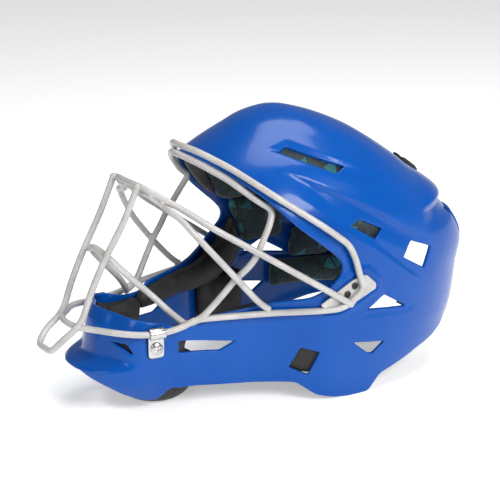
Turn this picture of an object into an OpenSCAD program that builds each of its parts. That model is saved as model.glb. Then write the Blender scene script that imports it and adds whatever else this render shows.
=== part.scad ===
// Hockey-style catcher's mask: one-piece shell, welded wire cage, padding and a sprung rear plate.
// X runs across (wearer's left is +X), the face looks along -Y, Z is up. It rests on its chin cup
// and the two lobes behind the ears. The origin is at the centre of the box's bottom.

/* [Shell] */
// Greatest width of the shell
shell_w = 179; // [172:1:186]
// Wall thickness of the moulded shell
shell_wall = 3; // [2.6:0.1:3.4]
// How far the chin's wall stands back from its lip
chin_set = 14; // [10:1:15]
// How far each side of the jaw comes in towards the chin
jaw_taper = 20; // [18:0.5:20]
// Half width of the window at the back
window_half = 46; // [45:0.5:47]
// Height of the window's top edge
window_top = 122.2; // [122:0.1:123]

/* [Cage] */
// Diameter of the cage wire
wire_d = 4.8; // [4:0.1:5.2]
// Length rounded off at each bend of a wire
bend = 9; // [4:1:12]
// Thickness of the stamped temple plates
plate_t = 2; // [1.5:0.1:2.2]

/* [Padding] */
// Thickness of the side and crown liners
liner_t = 11; // [8:0.5:12]
// Thickness of the moulded jaw pads
jaw_pad_t = 13; // [9:0.5:14]
// Radius of the chin cup
cup_r = 33; // [30:0.5:33]

/* [Rear plate] */
// Thickness of the plate that floats in the window
plate_wall = 3; // [2.5:0.1:3]
// Thickness of its foam
plate_foam_t = 8; // [5:0.5:8]
// Width of the top strap
strap_w = 20; // [16:1:24]
// Thickness of the webbing
strap_t = 1.4; // [1.2:0.1:1.4]

/* [Fasteners] */
// Radius of the screw shanks
screw_r = 2; // [1.8:0.1:2.2]
// Radius of the pan heads
head_r = 4.2; // [3.8:0.1:4.6]
// Height of the pan heads
head_h = 2.2; // [1.8:0.1:2.4]
// Width of the nuts across the flats
nut_w = 7; // [6.5:0.1:7.2]

/* [Hidden] */

wx = shell_w / 179;          // everything across the mask follows the shell's width
wire_r = wire_d / 2;
fit_gap = 0.4;               // air between neighbouring pieces
pad_gap = 1.2;               // room for the hook dots behind the liners
pad_o = shell_wall + pad_gap;
strap_o = shell_wall + 0.5;
hinge_z = window_top + 0.6;  // the top strap bends here, just under the window's edge
reach = 130;                 // half length of a cut that goes right across
centre_shift = 5.73;         // the whole mask's middle lies this far behind the shell's zero

// Height, front, back, half width and place of the widest point
STATIONS = [[0, -128, 150, 83, 45], [25, -149, 173, 87, 46], [38, -155.5, 177.5, 88.2, 47],
            [50, -155, 181, 89, 48], [75, -150, 184.5, 89.5, 50], [100, -132, 188, 89, 51],
            [130, -108, 164.5, 86.5, 49], [155, -83, 135, 80, 44], [175, -59, 108, 67.5, 38],
            [190, -36, 82, 50, 32], [202, -13, 55, 31, 27], [208.5, 6, 34, 14, 22],
            [210.5, 17, 24, 3, 20]];
last = len(STATIONS) - 1;
crown_z = STATIONS[last][0];

// Side outlines, as [y, z]
FACE_CUT = [[-200, 88], [-200, 230], [-75, 195], [-51.5, 182.5], [-28.5, 161.5], [-7, 138],
            [19, 116.5], [26, 109], [27, 104], [25.5, 99], [14.4, 89.2], [1.4, 82], [-43.5, 74.3],
            [-65.5, 71.8], [-71.6, 65.8], [-87.5, 65.5], [-99.9, 69.8], [-132.3, 78],
            [-141.5, 83.7]];
BASE_CUT = [[-200, 44], [-160, 46], [-151, 34], [-145.9, 29.9], [-127.5, 17.6], [-111.3, 9.2],
            [-99.9, 7.3], [-93.6, 16.6], [-87.5, 18], [-73.7, 17.9], [-47.5, 17.2], [-25.3, 16.1],
            [-5.3, 16.7], [8.5, 6.1], [24, 2], [38, 0], [54, 0], [64, 13], [106, 24], [125, 27],
            [140, 31], [150, 38], [200, 45], [200, -20], [-200, -20]];
VENTS = [[[-89.9, 57.2], [-45, 52.1], [-58.5, 44.6], [-89.9, 46.4]],
         [[-132.9, 57.4], [-125.9, 58.4], [-122, 49.7], [-125.1, 49.8]],
         [[-4.5, 45.4], [9.3, 41.2], [1.4, 21], [-11.5, 27.4]],
         [[33, 45.5], [68, 40], [55, 31], [50, 32]],
         [[45, 68], [64, 78], [87, 64.5], [86, 62.5]],
         [[94.6, 114], [116, 105], [107.5, 88], [83, 102], [89, 109.5]],
         [[33, 134], [43, 139], [66, 128], [56, 120]],
         [[-3.3, 188], [3, 190.3], [40.6, 174.8], [32, 172.8]]];

// Cage wires from one side to the centre plane, as [x, y, z]
RIM_UPPER = [[92.8, 31, 79.5], [93, 40.5, 87.5], [93, 38, 95], [92.5, 33, 112], [91.5, 28, 122.5],
             [88, 9.8, 137], [69.5, -24.4, 162.5], [41, -43, 179], [18, -57, 188.5], [0, -62, 190.5]];
RIM_LOWER = [[92.5, 30, 78], [92.5, 20, 75], [88.2, 6.3, 74.6], [66.3, -25, 72.2],
             [52.5, -67.2, 72.2], [49, -78.5, 71.7], [48.2, -86.1, 68.3], [47.6, -99.1, 66.1],
             [45.3, -117, 66.1], [38.2, -134.2, 68.6], [14, -154.6, 70], [0, -157.4, 70]];
ARCH = [[45.5, -84.3, 69], [48.5, -78.5, 69.7], [51.5, -71, 75.1], [56, -63, 85.5],
        [62, -50.7, 102], [65.5, -42.2, 110.2], [67.5, -37.2, 117], [64.5, -23.7, 138.8],
        [61, -18.7, 148.6], [56, -29.5, 156], [41, -45, 170.8], [18, -58.6, 180.9],
        [0, -66, 185.5]];
NOSE_BAR = [[45.5, -84.3, 69], [34.5, -90.3, 75.6], [26, -99.9, 87.4], [19.5, -116.6, 104.2],
            [14.8, -129.5, 118.7], [0, -132.3, 123.3]];
EYE_BAR = [[94.5, 28, 78], [92.3, 14, 87.5], [72, -36.4, 121.1], [54, -61.7, 137.7], [37, -84.7, 155.2],
           [31, -91.1, 159.4], [20, -102, 167.2], [12, -105.5, 169], [0, -106, 169]];
V_BAR = [[66.3, -26.3, 75.9], [66, -35, 83.3], [67, -50.5, 100.6], [62, -68.3, 122],
         [52, -80.8, 139.1], [47, -86, 147], [39.5, -91.8, 153.5], [31, -90.5, 154],
         [21, -99.5, 162.5], [12, -103, 165], [0, -103.5, 165.2]];
THROAT_BAR = [[18.4, -106.6, 168.5], [18, -117.6, 144.2], [16.5, -133.2, 117.9],
              [15.8, -144.3, 95.6], [15.5, -152.5, 72.7], [14.5, -167, 62.8], [10.5, -175, 54],
              [0, -175, 54]];

TEMPLE_PLATE = [[5, 79.5], [32, 94], [41, 97], [45, 96.5], [53, 89], [53, 85], [31, 75.2],
                [23, 72], [12, 72.5]];
TEMPLE_SLOTS = [[27.5, 84.5], [33.8, 90.2]];
plate_y = 25;                // the temple plate leans about this line
temple_turn = 2.6;           // the temple plate leans with the shell's side, in degrees
CLIP_AT = [43.0, -107.6, 54.5];
clip_turn = -7.4;           // the jaw clip's outward direction, in degrees from +X
wire_over_clip = 11.6;       // the lower rim wire's height above the clip's screw
anchor_z = 150;              // the strap anchor's height on the back of the crown
anchor_lean = -40;           // the crown's slope there, in degrees
cup_y = -86;                 // where the chin cup stands
cup_foot = 14;               // radius of the flat it stands on
DOTS = [[70, 135], [20, 150], [60, 108], [110, 48], [32, 42], [-65, 62]];  // [y, z] of each hook dot

// --- the shell's rule -------------------------------------------------------------------------

function row(z) = max([for (k = [0:last - 1]) if (k == 0 || z >= STATIONS[k][0]) k]);
function slope(k, c) = let (a = STATIONS[max(k - 1, 0)], b = STATIONS[min(k + 1, last)])
    (b[c] - a[c]) / (b[0] - a[0]);
// Smooth value of one column at any height
function station(z, c) = let (h = min(max(z, 0), crown_z), k = row(h), a = STATIONS[k],
    b = STATIONS[k + 1], d = b[0] - a[0], t = (h - a[0]) / d, u = 1 - t)
    u * u * (1 + 2 * t) * a[c] + t * t * (3 - 2 * t) * b[c]
    + d * t * u * (u * slope(k, c) - t * slope(k + 1, c));
// A height on a surface that lies o inside the shell's outside
function lifted(z, o) = min(z * crown_z / (crown_z - o), crown_z);
function half_x(z, o) = max(station(lifted(z, o), 3) * wx - o, 0.4);
function mid_y(z, o) = station(lifted(z, o), 4);
function run_y(z, o, ahead) = let (h = lifted(z, o))
    max(abs(station(h, ahead ? 1 : 2) - station(h, 4)) - o, 0.4);
function ramp(v) = let (t = min(max(v, 0), 1)) t * t * (3 - 2 * t);
// How far the chin's middle stands back above its lip
function set_back(a, z) = chin_set * ramp((z - 37) / 7) * ramp((96 - z) / 10)
    * ramp((36 - abs(180 - a)) / 24);
// How far the jaw's sides come in towards the chin, at depth y and height z
function taper(y, z) = jaw_taper * ramp((22 - y) / 70) * ramp((y + 150) / 70) * ramp((112 - z) / 24);
// A point on the surface: a is 0 at the back, 90 at the left side, 180 at the front
function skin_y(a, z, o) = mid_y(z, o) + run_y(z, o, cos(a) < 0) * cos(a) + set_back(a, z);
function skin_pt(a, z, o) = let (t = taper(skin_y(a, z, 0), z) * ramp(abs(sin(a)) / 0.22))
    [half_x(z, o) * sin(a) - t * sign(sin(a)), skin_y(a, z, o) + 0.6273 * t, z];
// The angle at which the surface o deep passes through y at height z
function angle_at(y, z, o) = let (c = (y - mid_y(z, o)) / run_y(z, o, y < mid_y(z, o)))
    acos(min(max(c, -1), 1));

// --- building blocks --------------------------------------------------------------------------

function unit(v) = v / norm(v);
function sides(n, m) = concat(
    [for (i = [0:n - 2], j = [0:m - 1]) [i * m + j, i * m + (j + 1) % m, (i + 1) * m + (j + 1) % m]],
    [for (i = [0:n - 2], j = [0:m - 1]) [i * m + j, (i + 1) * m + (j + 1) % m, (i + 1) * m + j]]);
// Closed faces over n rings of m points: round rings, and flat strips folded back on themselves
function rings_faces(n, m) = concat(sides(n, m),
    [[for (j = [m - 1:-1:0]) j]], [[for (j = [0:m - 1]) (n - 1) * m + j]]);
function strip_faces(n, m) = concat(sides(n, m), [for (i = [0:m / 2 - 2], top = [0, 1], k = [0, 1])
    let (q = [i, i + 1, m - 2 - i, m - 1 - i], t = k == 0 ? [q[0], q[1], q[2]] : [q[0], q[2], q[3]])
    top == 1 ? [for (v = t) (n - 1) * m + v] : [t[2], t[1], t[0]]]);

// The solid inside the surface o deep, from height z0 to the crown
module skin(o, z0, levels = 24, around = 64) {
    top = crown_z - o;
    pts = [for (k = [0:levels], j = [0:around - 1])
        skin_pt(j * 360 / around, z0 + (top - z0) * sin(90 * k / levels), o)];
    polyhedron(pts, rings_faces(levels + 1, around), convexity = 6);
}

// A pad bent to the shell: low and high are [first angle, last angle] at heights z0 and z1
module pad(low, high, z0, z1, o, t, nu = 7, nv = 4) {
    function at(i, j, d) = let (v = j / nv, u = i / nu, a0 = low[0] + (high[0] - low[0]) * v,
        a1 = low[1] + (high[1] - low[1]) * v) skin_pt(a0 + (a1 - a0) * u, z0 + (z1 - z0) * v, d);
    ring = concat([for (i = [0:nu]) [i, 0]], [for (i = [nu:-1:0]) [i, 1]]);
    pts = [for (j = [0:nv], p = ring) at(p[0], j, p[1] == 0 ? o : o + t)];
    polyhedron(pts, strip_faces(nv + 1, 2 * (nu + 1)), convexity = 4);
}

// A pad on one side whose corners are given as [y, z]: low front, low back, high back, high front
module side_pad(c, o, t) {
    low = [angle_at(c[0][0], c[0][1], o), angle_at(c[1][0], c[1][1], o)];
    high = [angle_at(c[3][0], c[3][1], o), angle_at(c[2][0], c[2][1], o)];
    pad([low[1], low[0]], [high[1], high[0]], (c[0][1] + c[1][1]) / 2, (c[2][1] + c[3][1]) / 2, o, t);
}

module across(outline) rotate([90, 0, 90]) translate([0, 0, -reach])
    linear_extrude(2 * reach) polygon(outline);
module right() mirror([1, 0, 0]) children();

// Wires: a half path is mirrored, its corners are rounded and a round section runs along it
function whole(p) = concat(p, [for (i = [len(p) - 2:-1:0]) [-p[i].x, p[i].y, p[i].z]]);
function widened(p) = [for (q = p) [q.x * wx, q.y, q.z]];
function rounded(p, d, n = 2) = concat([p[0]], [for (i = [1:len(p) - 2], k = [0:n])
    let (a = p[i - 1] - p[i], b = p[i + 1] - p[i], r = min(d, norm(a) * 0.45, norm(b) * 0.45),
         s = p[i] + unit(a) * r, e = p[i] + unit(b) * r, t = k / n)
    s * (1 - t) * (1 - t) + p[i] * 2 * t * (1 - t) + e * t * t], [p[len(p) - 1]]);
function tangent(p, i) = unit(p[min(i + 1, len(p) - 1)] - p[max(i - 1, 0)]);
function normals(p, i, n) = let (t = tangent(p, i), m = unit(n - (n * t) * t))
    i == len(p) - 1 ? [m] : concat([m], normals(p, i + 1, m));
module tube(p, r, sides = 8) {
    ns = normals(p, 0, [0.2, 0.3, 1]);
    pts = [for (i = [0:len(p) - 1], j = [0:sides - 1])
        let (a = j * 360 / sides, b = cross(tangent(p, i), ns[i]))
            p[i] + r * (cos(a) * ns[i] - sin(a) * b)];
    polyhedron(pts, rings_faces(len(p), sides), convexity = 6);
}
module wire(half) color("lightgray") centred() tube(rounded(whole(widened(half)), bend), wire_r);

module at_clip() translate([CLIP_AT.x * wx, CLIP_AT.y, CLIP_AT.z])
    rotate([0, 0, clip_turn]) rotate([0, 90, 0]) children();
module at_temple(p) translate([skin_pt(angle_at(p[0], p[1], 0), p[1], 0).x, p[0], p[1]])
    rotate([0, 0, -temple_turn]) rotate([0, 90, 0]) children();
module at_anchor() translate(skin_pt(0, anchor_z, 0)) rotate([anchor_lean, 0, 0]) children();
module centred() translate([0, -centre_shift, 0]) children();
module both() {
    children();
    mirror([1, 0, 0]) children();
}

// --- shell and rear plate ---------------------------------------------------------------------

module main_shell() color("royalblue") centred() resize([0, 0, 0]) difference() {
    skin(0, 0, 26, 72);
    skin(shell_wall, -1, 26, 72);
    across(FACE_CUT);
    across(BASE_CUT);
    for (v = VENTS) across(v);
    translate([-window_half, 110, -1]) cube([2 * window_half, 100, window_top + 1]);
    both() at_clip() cylinder(h = 30, r = screw_r + 0.3, center = true, $fn = 16);
    both() for (p = TEMPLE_SLOTS) at_temple(p)
        cylinder(h = 30, r = screw_r + 0.3, center = true, $fn = 16);
    at_anchor() strap_slot();
}
module strap_slot() {
    translate([-strap_w / 2 - 1, 5, -12]) cube([strap_w + 2, 4, 24]);
    translate([0, -6, 0]) cylinder(h = 24, r = screw_r + 0.3, center = true, $fn = 16);
}
module rear_plate() color("royalblue") centred() pad([-26, 26], [-24, 24], 76, 116, 0, plate_wall, 14, 8);
module rear_plate_pad() color("#1c1c1c") centred()
    pad([-22, 22], [-20, 20], 80, 112, pad_o + 1, plate_foam_t, 12, 4);
module plate_tab() color("#101010") centred()
    pad([-6.4, 6.4], [-6.8, 6.8], 96, hinge_z - fit_gap / 2, strap_o, strap_t, 4, 6);
module top_strap() color("#101010") centred()
    pad([-6.8, 6.8], [-8, 8], hinge_z + fit_gap / 2, 142, strap_o, strap_t, 4, 6);
module strap_anchor() color("#151515") centred() at_anchor()
    rotate([90, 0, 90]) translate([0, 0, -strap_w / 2 - 2]) difference() {
        linear_extrude(strap_w + 4)
            polygon([[-12, 0.7], [11, 0.7], [10, 3.2], [6, 4.2], [-7, 3.4], [-11, 1.8]]);
        translate([-6, 0, strap_w / 2 + 2]) rotate([-90, 0, 0])
            cylinder(h = 12, r = screw_r + 0.1, center = true, $fn = 32);
    }
module elastic_left() color("#202020") centred() pad([31.4, 58], [31.6, 58], 86, 96, strap_o, strap_t, 8, 2);
module elastic_right() right() elastic_left();
module elastic_end_left() color("#202020") centred()
    pad([13, 29.6], [13, 29.6], 86, 96, strap_o, strap_t, 6, 2);
module elastic_end_right() right() elastic_end_left();

// --- padding ----------------------------------------------------------------------------------

module crown_liner() color("#202830") centred() resize([0, 0, 0]) difference() {
    skin(pad_o, 168, 10, 40);
    skin(pad_o + liner_t, 160, 12, 40);
    across([for (p = FACE_CUT) [p[0] + 22, p[1] - 2]]);
}
module brow_pad() color("#2b2626") centred() resize([0, 0, 0]) difference() {
    skin(pad_o, 128, 10, 40);
    skin(pad_o + 7, 120, 10, 40);
    across([for (p = FACE_CUT) [p[0] + 3, p[1] + 1]]);
    across([[-56, 240], [-56, 193], [-32, 180.5], [-9, 161], [14, 128], [14, 60], [200, 60],
            [200, 240]]);
}
module side_liner_left() color("#1d3a40") centred()
    side_pad([[22, 121], [116, 121], [88, 164], [-4, 164]], pad_o, liner_t);
module side_liner_right() right() side_liner_left();
module temple_liner_left() color("#1d3a40") centred()
    side_pad([[44, 82], [80, 82], [80, 118], [31, 118]], pad_o, liner_t);
module temple_liner_right() right() temple_liner_left();
module ear_pad_left() color("#2a2c26") centred()
    side_pad([[-22, 22], [40, 22], [42, 56], [-22, 56]], pad_o, 9);
module ear_pad_right() right() ear_pad_left();
module nape_pad_left() color("#1c1c1c") centred()
    pad([33, 54], [33, 54], 62, 116, pad_o + 1, liner_t - 2, 6, 6);
module nape_pad_right() right() nape_pad_left();
module mid_liner_left() color("#1d3a40") centred() pad([57, 73], [57, 72], 60, 85, pad_o, liner_t, 5, 3);
module mid_liner_right() right() mid_liner_left();
module lower_liner_left() color("#1d3a40") centred()
    pad([36, 80], [34, 80], 36, 58, pad_o, liner_t, 10, 3);
module lower_liner_right() right() lower_liner_left();
module rear_liner() color("#202830") centred()
    pad([-48, 48], [-48, 48], 126, 162, pad_o + 1, liner_t - 2, 18, 5);
module cheek_pad_left() color("#161616") centred()
    side_pad([[-88, 57], [8, 57], [8, 69], [-86, 69]], pad_o + 0.4, 12);
module cheek_pad_right() right() cheek_pad_left();
module jaw_pad_left() color("#161616") centred() resize([0, 0, 0]) difference() {
    pad([136, 166], [136, 166], 33, 67, pad_o + 0.4, jaw_pad_t, 12, 8);
    at_clip() cylinder(h = 30, r = nut_w * 0.8, center = true, $fn = 24);
}
module jaw_pad_right() right() jaw_pad_left();
module chin_cup() color("#121212") centred() translate([0, cup_y, 0]) rotate_extrude($fn = 64)
    polygon(concat([[0, 0], [cup_foot, 0]],
        [for (a = [15:15:90]) [cup_foot + (cup_r - cup_foot) * sin(a), 26 - 26 * cos(a)]],
        [[cup_r, 28], [cup_r - 7, 28]],
        [for (a = [75:-15:0]) [10 + (cup_r - 18) * sin(a), 26 - 18 * cos(a)]], [[0, 8]]));

// --- cage -------------------------------------------------------------------------------------

module cage_rim_upper() wire(RIM_UPPER);
module cage_rim_lower() wire(RIM_LOWER);
module cage_arch() wire(ARCH);
module cage_nose_bar() wire(NOSE_BAR);
module cage_eye_bar() wire(EYE_BAR);
module cage_v_bar() wire(V_BAR);
module cage_throat_bar() wire(THROAT_BAR);
module temple_plate_left() color("silver") centred() translate([88.9 * wx, plate_y, 0])
    rotate([0, 0, -temple_turn]) rotate([90, 0, 90]) difference() {
        linear_extrude(plate_t) polygon([for (p = TEMPLE_PLATE) [p[0] - plate_y, p[1]]]);
        for (p = TEMPLE_SLOTS) translate([p[0] - plate_y, p[1], 0])
            cylinder(h = 10, r = screw_r + 0.2, center = true, $fn = 32);
    }
module temple_plate_right() right() temple_plate_left();
module jaw_clip_left() color("silver") centred() at_clip() {
    difference() {
        translate([-7.5, -6, 0.8]) cube([15, 12, 1.6]);
        cylinder(h = 10, r = screw_r + 0.2, center = true, $fn = 32);
    }
    translate([-wire_over_clip, 0, 3.5]) rotate([90, 0, 0]) difference() {
        cylinder(h = 12, r = wire_r + 1.9, center = true, $fn = 48);
        cylinder(h = 14, r = wire_r + 0.3, center = true, $fn = 48);
    }
}
module jaw_clip_right() right() jaw_clip_left();
module clip_screws() color("gainsboro") centred() both() at_clip() {
    translate([0, 0, 2.5]) cylinder(h = head_h, r = head_r, $fn = 48);
    translate([0, 0, -6.6]) cylinder(h = 9.2, r = screw_r, $fn = 48);
}
module nut() difference() {
    cylinder(h = 2.6, r = nut_w / 2 / cos(30), $fn = 6);
    cylinder(h = 8, r = screw_r + 0.05, center = true, $fn = 48);
}
module clip_nuts() color("gray") centred() both() at_clip() translate([0, 0, -6.6]) nut();
module temple_screws() color("#222222") centred() both() for (p = TEMPLE_SLOTS) at_temple(p) {
    translate([0, 0, 2.3]) cylinder(h = 1, r = screw_r + 0.6, $fn = 48);
    translate([0, 0, -6.9]) cylinder(h = 9.3, r = screw_r, $fn = 48);
}
module temple_nuts() color("gray") centred() both() for (p = TEMPLE_SLOTS) at_temple(p)
    translate([0, 0, -6.4]) nut();
module strap_screw() color("#222222") centred() at_anchor() translate([0, -6, 0]) {
    translate([0, 0, 3.7]) cylinder(h = 1, r = head_r - 0.6, $fn = 48);
    translate([0, 0, -5]) cylinder(h = 8.8, r = screw_r, $fn = 48);
}
module liner_dots() color("#303030") centred() both() for (d = DOTS) {
    p = skin_pt(angle_at(d[0], d[1], shell_wall), d[1], shell_wall);
    a = skin_pt(angle_at(d[0], d[1], shell_wall) + 2, d[1], shell_wall) - p;
    b = skin_pt(angle_at(d[0], d[1] + 3, shell_wall), d[1] + 3, shell_wall) - p;
    n = unit(cross(a, b));
    out = n.x > 0 ? n : -n;
    translate(p - out * 1.13) rotate([0, acos(out.z), atan2(out.y, out.x)])
        cylinder(h = 0.5, r = 4.6, $fn = 32);
}

main_shell();
rear_plate();
rear_plate_pad();
plate_tab();
top_strap();
strap_anchor();
elastic_left();
elastic_right();
elastic_end_left();
elastic_end_right();
crown_liner();
brow_pad();
side_liner_left();
side_liner_right();
temple_liner_left();
temple_liner_right();
mid_liner_left();
mid_liner_right();
lower_liner_left();
lower_liner_right();
ear_pad_left();
ear_pad_right();
nape_pad_left();
nape_pad_right();
rear_liner();
cheek_pad_left();
cheek_pad_right();
jaw_pad_left();
jaw_pad_right();
chin_cup();
cage_rim_upper();
cage_rim_lower();
cage_arch();
cage_nose_bar();
cage_eye_bar();
cage_v_bar();
cage_throat_bar();
temple_plate_left();
temple_plate_right();
jaw_clip_left();
jaw_clip_right();
clip_screws();
clip_nuts();
temple_screws();
temple_nuts();
strap_screw();
liner_dots();
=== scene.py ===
import math
import bpy
import bmesh
import numpy as np
from mathutils import Vector, Matrix, kdtree
from mathutils.geometry import delaunay_2d_cdt


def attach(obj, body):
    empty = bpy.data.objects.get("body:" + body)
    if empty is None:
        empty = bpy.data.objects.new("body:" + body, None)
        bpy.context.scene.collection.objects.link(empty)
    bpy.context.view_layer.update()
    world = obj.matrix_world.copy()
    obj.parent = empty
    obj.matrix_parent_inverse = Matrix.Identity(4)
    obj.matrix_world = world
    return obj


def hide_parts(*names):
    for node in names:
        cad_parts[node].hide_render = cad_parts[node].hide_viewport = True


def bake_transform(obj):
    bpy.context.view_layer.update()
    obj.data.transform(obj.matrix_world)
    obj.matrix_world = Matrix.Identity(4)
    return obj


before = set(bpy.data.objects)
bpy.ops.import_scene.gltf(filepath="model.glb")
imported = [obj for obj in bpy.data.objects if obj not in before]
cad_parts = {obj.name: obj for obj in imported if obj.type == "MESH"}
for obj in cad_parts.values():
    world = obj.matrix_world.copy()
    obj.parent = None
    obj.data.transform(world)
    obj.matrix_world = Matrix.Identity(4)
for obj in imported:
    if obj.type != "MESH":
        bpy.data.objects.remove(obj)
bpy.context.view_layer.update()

mm = 0.001
rootBody = "mask"
plateBody = "rear_plate"

# The shell's rule, in millimetres: height, front, back, half width and place of the widest point
maskShape = {
    "stations": [
        (0, -128, 150, 83, 45), (25, -149, 173, 87, 46), (38, -155.5, 177.5, 88.2, 47),
        (50, -155, 181, 89, 48), (75, -150, 184.5, 89.5, 50), (100, -132, 188, 89, 51),
        (130, -108, 164.5, 86.5, 49), (155, -83, 135, 80, 44), (175, -59, 108, 67.5, 38),
        (190, -36, 82, 50, 32), (202, -13, 55, 31, 27), (208.5, 6, 34, 14, 22),
        (210.5, 17, 24, 3, 20)],
    "chinSetBack": 14.0,
    "jawTaper": 20.0,  # how far each side of the jaw comes in
    "taperSlide": 0.6273,  # how far back the skin goes for each millimetre that it comes in
    "taperBlend": 0.22,  # the taper fades out towards the chin's middle
    "middle": 5.73,  # the frame's origin lies this far behind the stations' zero
    "wall": 3.0,
}
stationTable = np.array(maskShape["stations"], float)
crownHeight = stationTable[-1, 0]
frontColumn, backColumn, wideColumn, middleColumn = 1, 2, 3, 4


def ramp(v):
    t = np.clip(v, 0.0, 1.0)
    return t * t * (3 - 2 * t)


def stationValue(z, column):
    h = np.clip(z, 0, crownHeight)
    k = np.clip(np.searchsorted(stationTable[:, 0], h, side="right") - 1, 0, len(stationTable) - 2)

    def slope(i):
        low = stationTable[np.maximum(i - 1, 0)]
        high = stationTable[np.minimum(i + 1, len(stationTable) - 1)]
        return (high[..., column] - low[..., column]) / (high[..., 0] - low[..., 0])

    a, b = stationTable[k], stationTable[k + 1]
    d = b[..., 0] - a[..., 0]
    t = (h - a[..., 0]) / d
    u = 1 - t
    return (u * u * (1 + 2 * t) * a[..., column] + t * t * (3 - 2 * t) * b[..., column]
            + d * t * u * (u * slope(k) - t * slope(k + 1)))


def setBack(angle, z):
    turn = np.abs(180 - np.mod(angle, 360))
    return maskShape["chinSetBack"] * ramp((z - 37) / 7) * ramp((96 - z) / 10) * ramp((36 - turn) / 24)


def taper(angle, y, z):
    fade = ramp(np.abs(np.sin(np.radians(angle))) / maskShape["taperBlend"])
    return maskShape["jawTaper"] * ramp((22 - y) / 70) * ramp((y + 150) / 70) * ramp((112 - z) / 24) * fade


def halfRun(inFront, z):
    # from the widest place to the front or to the back
    reach = np.where(inFront, stationValue(z, frontColumn), stationValue(z, backColumn))
    return np.abs(reach - stationValue(z, middleColumn))


def skinPoint(angle, z):
    # angle is 0 at the back, 90 at the wearer's left, 180 at the front
    a = np.radians(angle)
    y = stationValue(z, middleColumn) + halfRun(np.cos(a) < 0, z) * np.cos(a) + setBack(angle, z)
    t = taper(angle, y, z)
    x = stationValue(z, wideColumn) * np.sin(a) - t * np.sign(np.sin(a))
    return np.stack([x, y + maskShape["taperSlide"] * t - maskShape["middle"], z + 0 * a], -1)


def skinNormal(angle, z):
    zHigh, zLow = np.minimum(z + 0.6, crownHeight), np.maximum(z - 0.6, 0)
    across = skinPoint(angle + 0.4, z) - skinPoint(angle - 0.4, z)
    up = skinPoint(angle, zHigh) - skinPoint(angle, zLow)
    n = np.cross(up, across)
    n /= np.linalg.norm(n, axis=-1, keepdims=True)
    outward = skinPoint(angle, z) - np.array([0, 15, 80])
    return np.where(np.sum(n * outward, -1, keepdims=True) < 0, -n, n)


def settle(y, z, angleFor, tapered=True):
    # the set-back and the taper depend on the angle that they shift, so all three are found together
    back, t = 0 * y, 0 * y
    for _ in range(40):
        own = y - back - maskShape["taperSlide"] * t
        ahead = own - stationValue(z, middleColumn)
        cosine = ahead / halfRun(ahead < 0, z)
        angle = angleFor(cosine, t)
        back = 0.5 * back + 0.5 * setBack(angle, z)
        if tapered:
            t = 0.5 * t + 0.5 * taper(angle, own + back, z)
    return angle, cosine


def angleOf(p):
    x, z = p[:, 0], p[:, 2]

    def angleFor(cosine, t):
        return np.degrees(np.arctan2((x + t * np.sign(x)) / stationValue(z, wideColumn), cosine))

    return settle(p[:, 1] + maskShape["middle"], z, angleFor)[0]


def sideAngle(y, z, tapered=True):
    # angle of the skin's left side at depth y (stations' own zero) and height z, and its cosine,
    # which is below -1 in front of the skin
    return settle(y, z, lambda cosine, t: np.degrees(np.arccos(np.clip(cosine, -1, 1))), tapered)


def densify(points, step, closed=True):
    p = np.asarray(points, float)
    ends = np.roll(p, -1, 0) if closed else p[1:]
    starts = p if closed else p[:-1]
    out = []
    for s, e in zip(starts, ends):
        n = max(1, int(np.linalg.norm(e - s) / step))
        out.append(s + (e - s) * (np.arange(n) / n)[:, None])
    if not closed:
        out.append(p[-1:])
    return np.concatenate(out)


def resample(p, step):
    # closed line, evenly spaced
    q = np.concatenate([p, p[:1]])
    d = np.concatenate([[0], np.cumsum(np.linalg.norm(np.diff(q, axis=0), axis=1))])
    n = max(12, int(round(d[-1] / step)))
    at = np.linspace(0, d[-1], n, endpoint=False)
    return np.stack([np.interp(at, d, q[:, i]) for i in range(q.shape[1])], 1)


def roundCorners(p, soft, step):
    # a closed line with every corner rounded by about soft
    fine = resample(p, step)
    reach = int(3 * soft / step)
    weights = np.exp(-0.5 * (np.arange(-reach, reach + 1) * step / soft) ** 2)
    weights /= weights.sum()
    return sum(w * np.roll(fine, k - reach, 0) for k, w in enumerate(weights))


def softLoop(p, soft, spacing):
    # a closed line on the skin with round corners, as (angle, height)
    even = resample(roundCorners(p, soft, 0.5), spacing)
    return np.stack([angleOf(even), even[:, 2]], 1)


def sideLoop(outline, soft, spacing, tapered=True):
    dense = densify(outline, 0.5)
    angle, _ = sideAngle(dense[:, 0], dense[:, 1], tapered)
    return softLoop(skinPoint(angle, dense[:, 1]), soft, spacing)


def angleLoop(corners, soft, spacing):
    # corners are (angle, height)
    dense = densify(corners, 0.5)
    return softLoop(skinPoint(dense[:, 0], dense[:, 1]), soft, spacing)


def mirrored(loop):
    return np.stack([-loop[::-1, 0], loop[::-1, 1]], 1)


# A flat chart of the dome that keeps angles: the crown is its middle
def chartTable():
    fine = 4  # the crown's last millimetres need closer rows
    z = np.concatenate([np.linspace(crownHeight, crownHeight - fine, 60)[:-1],
                        np.linspace(crownHeight - fine, 0, 500)])
    length = stationValue(z, backColumn) - stationValue(z, frontColumn)
    r = 0.5 * stationValue(z, wideColumn) + 0.25 * length
    ds = np.hypot(np.diff(z), np.diff(r))
    s = np.concatenate([[0], np.cumsum(ds)])
    t = np.concatenate([[0], np.cumsum(ds / (0.5 * (r[1:] + r[:-1])))])
    return z, r, s, 5 * np.exp(t)


chartZ, chartR, chartS, chartRho = chartTable()


def chart(angle, z):
    rho = np.interp(-z, -chartZ, chartRho)
    a = np.radians(angle)
    return np.stack([rho * np.sin(a), rho * np.cos(a)], -1)


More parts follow.
